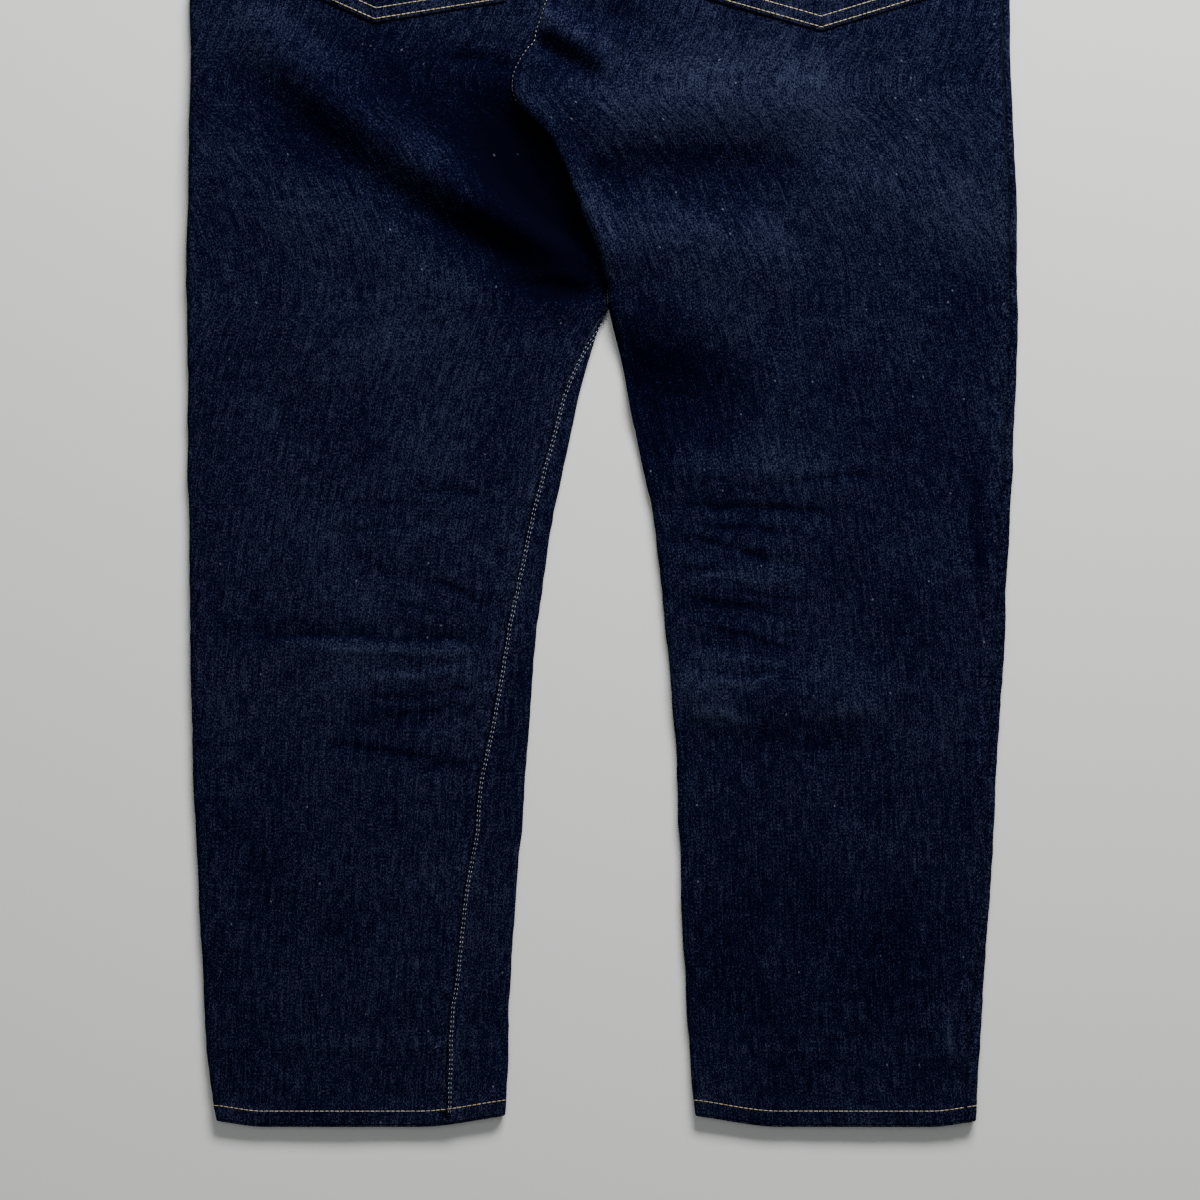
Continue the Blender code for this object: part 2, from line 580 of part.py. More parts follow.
def back_pocket(row, mat):
    """A patch pocket: five corners, pointed below, lying on its panel."""
    at = dict(zip(POCKET_COLUMNS, row))
    side = at["side"]
    u = np.linspace(0.0, 1.0, POCKET_STEPS + 1)[None, :]
    v = np.linspace(0.0, 1.0, POCKET_STEPS + 1)[:, None]
    low_x = np.interp(u, (0.0, 0.5, 1.0), (at["in_x"], at["tip_x"], at["out_x"]))
    low_y = np.interp(u, (0.0, 0.5, 1.0), (at["in_y"], at["tip_y"], at["out_y"]))
    high_x = at["top_in_x"] + (at["top_out_x"] - at["top_in_x"]) * u
    high_y = at["top_in_y"] + (at["top_out_y"] - at["top_in_y"]) * u
    x = low_x + (high_x - low_x) * v
    y = low_y + (high_y - low_y) * v
    lift = WALL / 2 + POCKET_GAP + POCKET_WALL / 2
    z = upper_height(side, x, y) + WALL / 2 + floor_rise(y) + lift
    word = "left" if side == LEFT else "right"
    grid_object("pocket_back_" + word, x, y, z, POCKET_WALL, mat)


def waistband(mat):
    """One strip round the waist whose ends overlap at the centre front."""
    y = np.linspace(BAND_BOTTOM + SEAM_GAP / 2, WAIST_TOP - 0.01, BAND_ROWS + 1)[:, None]
    out = {side: outer_edge(side, y) for side in (LEFT, RIGHT)}
    bend = np.radians((0.0, 30.0, 60.0, 90.0, 120.0, 150.0, 180.0))
    half = (BAND_HIGH - BAND_LOW) / 2
    under = BAND_LOW + BAND_WALL + LAYER_GAP
    flat = np.linspace(0.0, 1.0, BAND_STEPS + 1)[None, :]
    left_start = BAND_OVERLAP - (BAND_OVERLAP + out[LEFT] - EDGE_ROLL) * flat
    left_turn = -(out[LEFT] - EDGE_ROLL) - EDGE_ROLL * np.sin(bend)
    back = -(out[LEFT] - EDGE_ROLL) + (out[LEFT] + out[RIGHT] - 2 * EDGE_ROLL) * flat
    right_turn = (out[RIGHT] - EDGE_ROLL) + EDGE_ROLL * np.sin(bend)
    right_end = (out[RIGHT] - EDGE_ROLL) - (out[RIGHT] - EDGE_ROLL + BAND_OVERLAP) * flat
    x = np.concatenate((left_start[:, :-1], left_turn, back[:, 1:-1], right_turn,
                        right_end[:, 1:]), axis=1)
    level = np.ones_like(flat)
    middle = BAND_LOW + half
    clear = BAND_OVERLAP + 5.0
    climb = BAND_LOW + (under - BAND_LOW) * (1 - smooth(clear, clear + BAND_CLIMB, right_end))
    z = np.concatenate((
        np.repeat(level[:, :-1] * BAND_LOW, len(y), axis=0),
        np.repeat(middle - half * np.cos(bend)[None, :], len(y), axis=0),
        np.repeat(level[:, 1:-1] * BAND_HIGH, len(y), axis=0),
        np.repeat(middle + half * np.cos(bend)[None, :], len(y), axis=0),
        climb[:, 1:]), axis=1)
    y = np.repeat(y, x.shape[1], axis=1)
    grid_object("waistband", x, y, z + BAND_RISE, BAND_WALL, mat)


def fly_shield(mat):
    """The strip behind the closed fly, lying on the front panels' inner side."""
    y = np.linspace(BAND_BOTTOM - FLY_LENGTH, BAND_BOTTOM - SEAM_GAP, FLY_ROWS + 1)[:, None]
    share = np.linspace(-0.5, 0.5, FLY_STEPS + 1)[None, :]
    low = BAND_BOTTOM - FLY_LENGTH
    taper = FLY_POINT + (1 - FLY_POINT) * smooth(low, low + FLY_WIDTH, y)
    x = CROTCH_X + FLY_WIDTH * taper * share
    y = np.repeat(y, x.shape[1], axis=1)
    z = WALL / 2 + floor_rise(y) + WALL + FLY_GAP
    grid_object("fly_shield", x, y, z, WALL, mat)


def belt_loop(name, sheet, x_mid, mat):
    """A strip that stands a little off the waistband between its two ends."""
    share = np.linspace(0.0, 1.0, LOOP_ROWS + 1)[:, None]
    y = WAIST_TOP - 0.5 - LOOP_LENGTH * share
    x = x_mid + LOOP_WIDTH * np.linspace(-0.5, 0.5, 3)[None, :]
    stand = LOOP_STAND * np.sin(math.pi * share)
    off = BAND_WALL / 2 + LAYER_GAP + LOOP_WALL / 2 + stand
    face = BAND_HIGH + off if sheet == BACK else BAND_LOW - off
    x = np.repeat(x, len(y), axis=0)
    y = np.repeat(y, x.shape[1], axis=1)
    z = np.repeat(face + BAND_RISE, x.shape[1], axis=1)
    grid_object(name, x, y, z, LOOP_WALL, mat)


def turned(name, profile, x_mid, y_mid, mat):
    """A round piece turned from radius and height pairs, both ends on the axis."""
    mesh = bpy.data.meshes.new(name)
    bm = bmesh.new()
    points = [bm.verts.new((r * MM, 0.0, h * MM)) for r, h in profile]
    line = [bm.edges.new(pair) for pair in zip(points, points[1:])]
    bmesh.ops.spin(bm, geom=points + line, cent=(0, 0, 0), axis=(0, 0, 1),
                   angle=math.tau, steps=BUTTON_SIDES, use_merge=True)
    bmesh.ops.remove_doubles(bm, verts=bm.verts, dist=0.001 * MM)
    bmesh.ops.recalc_face_normals(bm, faces=bm.faces)
    bm.to_mesh(mesh)
    bm.free()
    mesh.materials.append(mat)
    obj = bpy.data.objects.new(name, mesh)
    obj.location = (x_mid * MM, y_mid * MM, 0.0)
    bpy.context.scene.collection.objects.link(obj)
    return obj


def jeans():
    """Make every piece of the garment."""
    back = material("denim_back", (0.0062, 0.0084, 0.0250), 0.92)
    front = material("denim_front", (0.0058, 0.0078, 0.0230), 0.92)
    upper = material("denim_yoke", (0.0066, 0.0090, 0.0265), 0.92)
    band = material("denim_band", (0.0060, 0.0082, 0.0245), 0.90)
    patch = material("denim_pocket", (0.0070, 0.0096, 0.0270), 0.92)
    metal = material("brass", (0.4500, 0.3100, 0.1400), 0.40, 1.0)
    for side, word in ((LEFT, "left"), (RIGHT, "right")):
        leg_panels(side, word, back, front)
        yoke(side, word, upper)
        hem(side, word, back)
        pocket_facing(side, word, front)
    for row in POCKET_ROWS:
        back_pocket(row, patch)
    waistband(band)
    fly_shield(front)
    for name, sheet, x_mid in LOOPS:
        belt_loop(name, sheet, x_mid, band)
    cap = ((0.0, 0.0), (BUTTON_RADIUS - 0.8, 0.0), (BUTTON_RADIUS, 0.7), (BUTTON_RADIUS, 1.4),
           (BUTTON_RADIUS - 0.8, BUTTON_CAP), (SHANK_RADIUS, BUTTON_CAP),
           (SHANK_RADIUS, BUTTON_HEIGHT), (0.0, BUTTON_HEIGHT))
    turned("waist_button", cap, 0.0, (BAND_BOTTOM + WAIST_TOP) / 2, metal)


jeans()
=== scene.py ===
"""Straight leg jeans laid flat, back side up: the cloth, seams, stitching and finish.

Every piece stands on the form of its own solid.  The tables and sizes below are in
millimetres and become metres when a mesh is made.
"""

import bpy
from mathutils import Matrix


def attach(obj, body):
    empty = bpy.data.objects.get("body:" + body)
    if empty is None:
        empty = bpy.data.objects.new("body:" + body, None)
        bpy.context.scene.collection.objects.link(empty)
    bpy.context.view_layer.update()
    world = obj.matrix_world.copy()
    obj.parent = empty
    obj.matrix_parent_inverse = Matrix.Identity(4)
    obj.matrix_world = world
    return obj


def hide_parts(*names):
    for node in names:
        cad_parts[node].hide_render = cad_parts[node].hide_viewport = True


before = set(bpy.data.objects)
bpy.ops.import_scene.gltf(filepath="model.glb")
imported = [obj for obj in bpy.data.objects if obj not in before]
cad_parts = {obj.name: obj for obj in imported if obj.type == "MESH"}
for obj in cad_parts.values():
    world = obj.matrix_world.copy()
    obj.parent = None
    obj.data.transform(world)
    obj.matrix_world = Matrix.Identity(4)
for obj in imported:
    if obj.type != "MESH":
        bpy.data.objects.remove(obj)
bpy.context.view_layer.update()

import math

import bmesh
import bpy
import numpy as np
from bpy.props import FloatProperty, FloatVectorProperty, PointerProperty
from mathutils import Vector

bl_info = {
    "name": "Straight leg jeans",
    "version": (1, 0, 0),
    "blender": (4, 5, 0),
    "location": "3D View > Sidebar > Jeans",
    "description": "Makes straight leg jeans laid flat, with their seams and stitching",
    "category": "Object",
}

# ---------------------------------------------------------------- sizes, in mm
MM = 0.001
WALL = 1.2              # denim wall of every panel
SEAM_GAP = 0.36         # distance kept between two pieces that meet
LAYER_GAP = 0.35        # distance kept between two pieces that lie on each other
LAP_SWELL = 3.75        # height of the lapping edge's middle above the seam below it
LAP_TUCK = 3.0          # tuck at which the lap stands at that height
SEAT_CLEAR = 1.35       # the left back panel stops this far from the upright seat edge
SIDE_CLEAR = 0.7        # more room at the side seams beside the curved hips
TIP_CLEAR, TIP_REACH = 1.3, 34.0        # more room where four panels meet at the crotch
EDGE_ROLL = 3.2         # how far in from the silhouette the cloth rolls over
NO_ROLL = 1e-6          # roll of an edge that only meets another flat
EDGE_RISE = 2.7         # height of the rolled edge's middle above the lower sheet
FOLD_FULL = 0.85        # how soon a fold reaches its full rise from its ends
FOLD_POINT = 0.16       # how much its ends come to a point
FOLDS_END, FOLDS_FADE = 285.0, 45.0     # the folds die away there, under the pockets
LOW_FADE = (6.0, 26.0)  # the front's creases begin between these distances from an edge
DRIFT_CELLS = 97        # soft unevenness repeats after so many of its features
LAID_SHARP = 1.6        # how sharply a deep valley flattens on the lower sheet
LAID_MIN = 1.75         # least distance between the two sheets' middles
LEFT, RIGHT = -1, 1
BACK, FRONT = 1, -1
WORDS = {LEFT: "left", RIGHT: "right"}

CROTCH_X, CROTCH_Y = 4.9, 64.4
HEM_Y = -509.6
WAIST_TOP = 509.6
BAND_HEIGHT = 39.5
BAND_WALL = 2.4         # waistband strip, folded double
BAND_SKIN = 0.3         # taken off its wall, because its middle swells by as much
BAND_BOTTOM = WAIST_TOP - BAND_HEIGHT
BAND_OVERLAP = 24.0     # half of the button overlap at the centre front
BAND_CLIMB = 45.0       # length over which the inner end climbs onto the outer end
BAND_RISE = 3.2         # the waist rests on its loops and its button
BAND_SPREAD = 70.0      # length over which the cloth comes up to that height
BAND_LOW = 1.2          # middle of the band's lower layer above that height
BAND_HIGH = 6.75        # middle of its upper layer
YOKE_CENTRE, YOKE_SIDE = 409.5, 439.0
YOKE_REACH = 250.0      # centre back to side, where the yoke is lowest and highest
YOKE_SPREAD = 135.0     # how far down the panel its rows follow the yoke seam

HEM_DEPTH = 13.0        # height of the turned-in hem
HEM_WALL = 1.6          # thickness of the turned-in hem
HEM_IN_CORNER = 9.0     # how far the hem's corners stand above its middle
HEM_OUT_CORNER = 4.5
HEM_SPREAD = 90.0       # how far up the leg that bow is felt

POCKET_WALL = 1.2
FACING_WALL = 1.2
MOUTH_TOP, MOUTH_SIDE = 105.0, 88.0     # front pocket mouth, along waist and side
MOUTH_LEDGE = 22.0      # straight lower end of the mouth
FACING_TUCK = 16.0
FACING_GAP = 0.8
FLY_WIDTH, FLY_LENGTH = 42.0, 165.0
FLY_POINT = 0.55        # width of its lower end as a share of the whole
FLY_GAP = 0.5
LOOP_WIDTH, LOOP_LENGTH, LOOP_WALL = 12.0, 43.0, 1.5
LOOP_STAND = 1.1        # how far a belt loop stands off in its middle
BUTTON_RADIUS, BUTTON_HEIGHT, BUTTON_CAP = 8.5, 2.85, 2.1
SHANK_RADIUS = 4.0
BUTTON_PROFILE = (      # radius and height, from the dished face round to the shank
    (0.0, 0.22), (4.2, 0.30), (6.0, 0.42), (6.6, 0.12), (7.4, 0.0), (8.1, 0.18),
    (BUTTON_RADIUS, 0.75), (BUTTON_RADIUS, 1.35), (8.1, 1.85), (7.4, BUTTON_CAP),
    (SHANK_RADIUS, BUTTON_CAP), (SHANK_RADIUS, BUTTON_HEIGHT), (0.0, BUTTON_HEIGHT),
)
POCKET_GAP = 0.5        # a pocket lies on its panel at this distance

# Silhouette: distance from the middle line to each leg's outer and inner edge.
# From the crotch up the inner edge is the centre back seam (lap) and centre front.
SILHOUETTE = ("y", "left_out", "left_in", "right_in", "right_out")
SILHOUETTE_ROWS = (
    (-510, 268.0, 68.8, 66.6, 260.5),
    (-490, 272.0, 67.4, 64.6, 261.4),
    (-457, 275.8, 65.9, 61.6, 263.9),
    (-436, 276.5, 65.6, 60.2, 264.8),
    (-394, 278.6, 64.2, 58.1, 267.4),
    (-352, 280.9, 60.9, 56.2, 270.2),
    (-310, 283.4, 57.4, 54.7, 272.6),
    (-268, 285.0, 54.0, 53.2, 274.6),
    (-226, 285.8, 51.1, 50.8, 277.6),
    (-184, 286.8, 48.1, 47.2, 280.0),
    (-142, 287.7, 43.4, 43.4, 281.6),
    (-100, 288.3, 37.9, 38.6, 283.6),
    (-58, 288.6, 29.6, 31.4, 285.8),
    (-16, 289.1, 20.4, 22.2, 287.7),
    (5, 289.2, 15.4, 18.2, 288.5),
    (26, 289.6, 9.6, 14.0, 289.1),
    (47, 289.8, 3.0, 8.6, 289.7),
    (64.4, 289.8, -4.9, 4.9, 289.8),
    (110, 289.4, -4.9, 4.9, 289.4),
    (152, 288.4, -4.9, 4.9, 288.4),
    (215, 287.2, -4.9, 4.9, 285.4),
    (278, 287.6, -4.9, 4.9, 284.2),
    (320, 286.4, -4.9, 4.9, 283.2),
    (360, 281.6, -4.9, 4.9, 279.4),
    (400, 271.5, -4.9, 4.9, 269.8),
    (440, 254.5, -4.9, 4.9, 253.5),
    (470, 241.0, -4.9, 4.9, 240.0),
    (510, 234.0, -4.9, 4.9, 233.0),
)

# Where the two back panels meet above the crotch: x of the lapping edge, how far
# the seam is tucked back under it, and the radius of the soft roll there.
SEAT_SEAM = ("y", "edge_x", "tuck", "roll")
SEAT_SEAM_ROWS = (
    (64.4, 4.9, 0.0, 3.2),
    (75, 4.8, 1.0, 3.6),
    (89, 1.5, 3.0, 4.6),
    (103, -2.8, 4.5, 5.6),
    (124, -11.9, 5.5, 6.6),
    (147, -20.5, 5.5, 7.0),
    (169, -29.4, 4.5, 7.0),
    (190, -43.4, 2.5, 6.4),
    (206, -59.0, 0.2, 5.6),
    (222, -61.6, 0.0, 5.0),
    (251, -46.9, 0.0, 5.0),
    (278, -37.8, 0.0, 5.0),
    (320, -26.5, 0.0, 3.6),
    (365, -16.5, 0.0, 2.0),
    (409, -9.0, 0.0, 1.2),
    (470, -4.2, 0.0, 1.2),
    (510, -2.8, 0.0, 1.2),
)

# Distance of each side seam from the nearest edge, along the cloth.  Positive lies
# on the upper sheet, negative has rolled over to the underside.
SEAMS = ("y", "left_inseam", "right_inseam", "left_outseam", "right_outseam")
SEAM_ROWS = (
    (-510, 42.5, -32.0, -12.0, 9.6),
    (-451, 43.8, -31.0, -12.0, 8.8),
    (-395, 40.0, -30.0, -12.0, 7.4),
    (-343, 38.0, -28.0, -12.0, 6.4),
    (-317, 35.2, -27.0, -12.0, 6.0),
    (-276, 34.4, -25.0, -12.0, 6.6),
    (-232, 29.0, -23.0, -12.0, 7.6),
    (-187, 24.2, -21.0, -12.0, 8.0),
    (-142, 21.4, -19.0, -12.0, 7.8),
    (-104, 18.6, -16.0, -12.0, 7.6),
    (-66, 17.0, -13.0, -12.0, 7.6),
    (-30, 15.0, -9.5, -12.0, 7.6),
    (8, 12.6, -6.0, -12.0, 7.6),
    (46, 5.0, -2.2, -12.0, 7.6),
    (64.4, 0.6, -0.3, -12.0, 7.6),
    (300, 0.6, -0.3, -12.0, 7.6),
    (510, 0.6, -0.3, -12.0, 7.6),
)

# Height of the upper sheet's middle above the lower sheet's middle, lying slack.
LOFT = ("y", "left", "right")
LOFT_ROWS = (
    (-510, 5.7, 5.7),
    (-492, 5.7, 5.7),
    (-465, 5.0, 5.0),
    (-350, 4.6, 4.6),
    (-150, 5.0, 5.0),
    (0, 5.4, 5.8),
    (80, 6.6, 9.0),
    (160, 8.0, 11.0),
    (240, 7.2, 9.4),
    (300, 6.0, 7.0),
    (380, 6.0, 6.2),
    (440, 6.0, 6.0),
    (510, 6.0, 6.0),
)

# Folds of the back: a ridge (rise above 0) or a valley (below 0) from one end to
# the other, bowed sideways in its middle, with its half width at each end.
FOLD_COLUMNS = ("panel", "x0", "y0", "x1", "y1", "bow", "wide0", "wide1", "rise")
FOLDS = (
    # drag folds from the left hip down to the crotch
    (LEFT, -266, 282, 20, 82, -18, 25, 9, 8.5),
    (LEFT, -262, 238, 4, 60, -15, 22, 10, -4.2),
    (LEFT, -92, 226, 2, 80, -9, 25, 13, -8.6),
    (LEFT, -120, 240, -50, 226, 0, 8, 8, -2.0),
    (LEFT, -76, 76, 10, 74, 0, 6, 8, -2.6),
    (LEFT, -250, 150, -60, 40, 10, 30, 26, 2.0),
    (LEFT, -240, 40, -50, 10, 6, 30, 26, 1.2),
    # the right seat, pushed over the left
    (RIGHT, -50, 272, 16, 222, 0, 8, 12, 5.0),
    (RIGHT, -56, 252, 4, 222, 0, 8, 10, -5.0),
    (RIGHT, -44, 286, 34, 256, 0, 9, 13, -3.0),
    (RIGHT, -96, 188, 196, 206, 4, 21, 34, 6.0),
    (RIGHT, -52, 196, 18, 72, 2, 14, 14, 7.0),
    (RIGHT, -36, 148, 150, 158, 2, 15, 26, -4.4),
    (RIGHT, -6, 104, 150, 78, 10, 20, 30, 5.4),
    (RIGHT, 0, 66, 120, 50, 0, 26, 28, 3.6),
    (RIGHT, 8, 56, 44, -70, 0, 16, 14, -3.0),
    (RIGHT, 10, 6, 110, -24, 8, 26, 26, -3.4),
    (RIGHT, 20, -52, 190, -62, 4, 14, 18, 2.6),
    (RIGHT, 120, 150, 276, 110, 6, 30, 34, 2.2),
    # behind the right knee
    (RIGHT, 84, -66, 216, -54, 0, 7, 7, -0.7),
    (RIGHT, 56, -76, 180, -85, 0, 6, 6, -1.0),
    (RIGHT, 32, -97, 150, -118, -3, 6, 7, -1.2),
    (RIGHT, 36, -108, 146, -128, 0, 7, 7, 0.8),
    (RIGHT, 42, -130, 142, -136, 0, 7, 8, 0.9),
    (RIGHT, 38, -149, 142, -155, 2, 6, 7, -1.1),
    (RIGHT, 44, -165, 134, -180, 0, 6, 7, -0.9),
    (RIGHT, 26, -202, 220, -208, -6, 22, 24, 3.6),
    (RIGHT, 44, -240, 214, -240, -5, 15, 18, -2.0),
    # behind the left knee
    (LEFT, -134, -60, -72, -73, 0, 7, 7, -0.7),
    (LEFT, -184, -76, -94, -92, 0, 7, 7, -0.8),
    (LEFT, -198, -110, -68, -152, 3, 7, 8, -0.8),
    (LEFT, -280, -166, -62, -171, 4, 6, 7, -1.2),
    (LEFT, -226, -176, -66, -183, 2, 8, 8, 0.9),
    (LEFT, -196, -202, -72, -188, -5, 8, 8, 0.9),
    (LEFT, -192, -230, -68, -214, -5, 7, 7, -0.9),
    (LEFT, -212, -244, -70, -268, 5, 8, 8, -0.9),
    # slack waves lower down
    (LEFT, -240, -330, -90, -352, 4, 26, 24, 1.2),
    (RIGHT, 90, -318, 250, -332, 4, 26, 28, 1.2),
    (RIGHT, 236, -420, 243, -474, 0, 8, 8, 1.6),
)

# Back pockets: corners in pocket order, x and y on the garment.
POCKET_COLUMNS = ("side", "tip_x", "tip_y", "in_x", "in_y", "out_x", "out_y",
                  "top_in_x", "top_in_y", "top_out_x", "top_out_y")
POCKET_ROWS = (
    (LEFT, -159, 261, -66, 276, -251, 302, -43, 394, -243, 421),
    (RIGHT, 153, 255, 61, 281, 248, 284, 50, 397, 252, 403),
)

# Belt loops: the sheet they sit on and their x.
LOOPS = (
    ("belt_loop_back", BACK, 0.0),
    ("belt_loop_back_left", BACK, -142.0),
    ("belt_loop_back_right", BACK, 142.0),
    ("belt_loop_front_left", FRONT, -118.0),
    ("belt_loop_front_right", FRONT, 118.0),
)

# ---------------------------------------------------------- sizes of the finish
HEM_LIP = 0.9          # radius of the hem's rolled edge
LEG_ROWS = (
    (HEM_Y + HEM_LIP, -494, 12), (-494, -274, 58), (-274, -46, 176), (-46, CROTCH_Y, 32),
)
SEAT_ROWS = ((CROTCH_Y, 80, 8), (80, 300, 74), (300, YOKE_CENTRE, 28))
FRONT_ROWS = ((CROTCH_Y, 80, 8), (80, 300, 60), (300, BAND_BOTTOM, 40))
BACK_COLUMNS, FRONT_COLUMNS = 86, 24
OVER_COLUMNS, ROLL_COLUMNS = 13, 8
CROWD = 0.12            # least distance between two columns of points
FEEL = 0.4              # step with which the slope of the cloth is felt

FELL_WIDTH, FELL_RISE = 8.5, 0.75       # ridge of a felled seam
PATCH_WIDTH, PATCH_RISE = 11.0, 0.55    # ridge of a pocket's turned-in edge
OPEN_WIDTH, OPEN_RISE = 10.0, 0.6       # ridge of an allowance pressed open
SEAM_DIP = 0.35         # a panel goes down where it runs under a seam
SEAM_GROOVE = 0.85      # depth of the groove along a seam pressed open
GROOVE_WIDTH = 2.4      # half width of that groove
DIP_WIDTH = 3.0         # how far in from a seam a panel goes down
CROTCH_BLEND = 12.0     # seams change from those of the leg to those of the seat
PUCKER_REACH = 7.0      # how far from its seam the puckering is felt
EDGE_WANDER = 0.6       # how far the rolled edges wander off their lines
HEM_ROW = 10.5          # stitch row above the hem's edge
HEM_RISE = 0.45         # the hem's upper sheet stands proud by its turned-in layers
ROPE_PITCH, ROPE_RISE = 8.5, 0.22       # slanting ripples twisted into the hem
PUCKER_PITCH, PUCKER_RISE = 7.5, 0.20   # little waves along a sewn seam
SLACK_RISE = 0.35       # unevenness of cloth that lies slack
CREASE_WANDER = 2.6     # how far a fine crease wanders off its line

YOKE_ROWS, FACING_ROWS, POCKET_STEPS = 16, 24, 56
BAND_ROWS, BAND_STEPS = 12, 110
FLY_ROWS, FLY_STEPS = 30, 8
LOOP_ROWS, LOOP_STEPS = 20, 8
HEM_ROWS, HEM_COLUMNS = 5, 40
ROW_STEP = 1.5          # distance between the points of a row of stitches
YOKE_TWIN = (2.2, 8.8)  # twin rows, each at its distance in from the edge
MOUTH_TWIN = (2.2, 8.6)
POCKET_TWIN, POCKET_TOP_TWIN = (2.4, 9.7), (3.0, 10.3)
INSEAM_TWIN = (1.5, 3.1)
FLY_CURVE = (38.0, 34.0)                # width and height of the fly's curved lower end
FLY_TWIN, FRONT_TWIN = (0.0, -6.4), (1.8, 8.2)
SEAT_ROW, SIDE_ROW, BAND_ROW = 1.3, 2.2, 2.4
SIDE_ROW_START = 320.0  # the side seam's row begins here, above the hip
LOOP_ROW = 0.33         # rows and tacks of a belt loop, as shares of its width and length
LOOP_TACKS, LOOP_TACK_HALF = (0.045, 0.955), 0.42
SEAT_ROW_END = 206.0    # below this the lap hides the seat seam's stitches
CHAIN = (3.3, 0.50)     # pitch of the fine seam stitches, and the share that shows
CHAIN_WIDE = 0.55       # width of that thread
STITCH_HALF = 0.4       # half of a stitch, as a share of its pitch, for its direction
STITCH_HEIGHT = 0.36    # half its height, as a share of the thread's width
STITCH_LIFT = 0.08      # its middle stands this far out of the cloth
MERGE = 1e-6            # points closer than this, in metres, are one
SEAM_REACH = 40.0       # the weave's marks tell no greater distance from a seam
NO_SEAM, NO_HEM = 30.0, 80.0            # marks of cloth with no seam or hem near
CREASE_WEAR_AND_SHADE, FOLD_PAINTED_LIGHT = 0.22, 0.06     # how much folds and creases pale the cloth on their ridges (painted highlight, creases also worn) and darken it in their valleys (painted shade)
HEM_PALE, HEM_PALE_DEPTH = 0.20, 1.2    # and the hem's edge, within that distance
PALE_EDGE = 0.22        # and the edge of a pocket
VIEW_X, VIEW_Y = -1.4, -142.1            # middle of the view, in mm
FLOOR_LEVEL = -0.0004   # in metres, just under the lowest point of the cloth
WORLD_LIGHT = 0.12
# name, size in metres, power in watts, place, and what it is aimed at
LIGHTS = (
    ("window", (1.4, 0.6), 103.0, (0.62, 1.75, 1.15), (0.0, -0.12, 0.0)),
    ("ceiling", (2.4, 2.4), 19.0, (-0.9, -0.1, 3.2), (-0.3, -0.15, 0.0)),
)
# Distances in mm by which pieces take their weave from another place of the cloth
WEFT_FRONT, WEFT_FACING, WEFT_SHIELD, WARP_YOKE = 700.0, 1500.0, 2500.0, 700.0

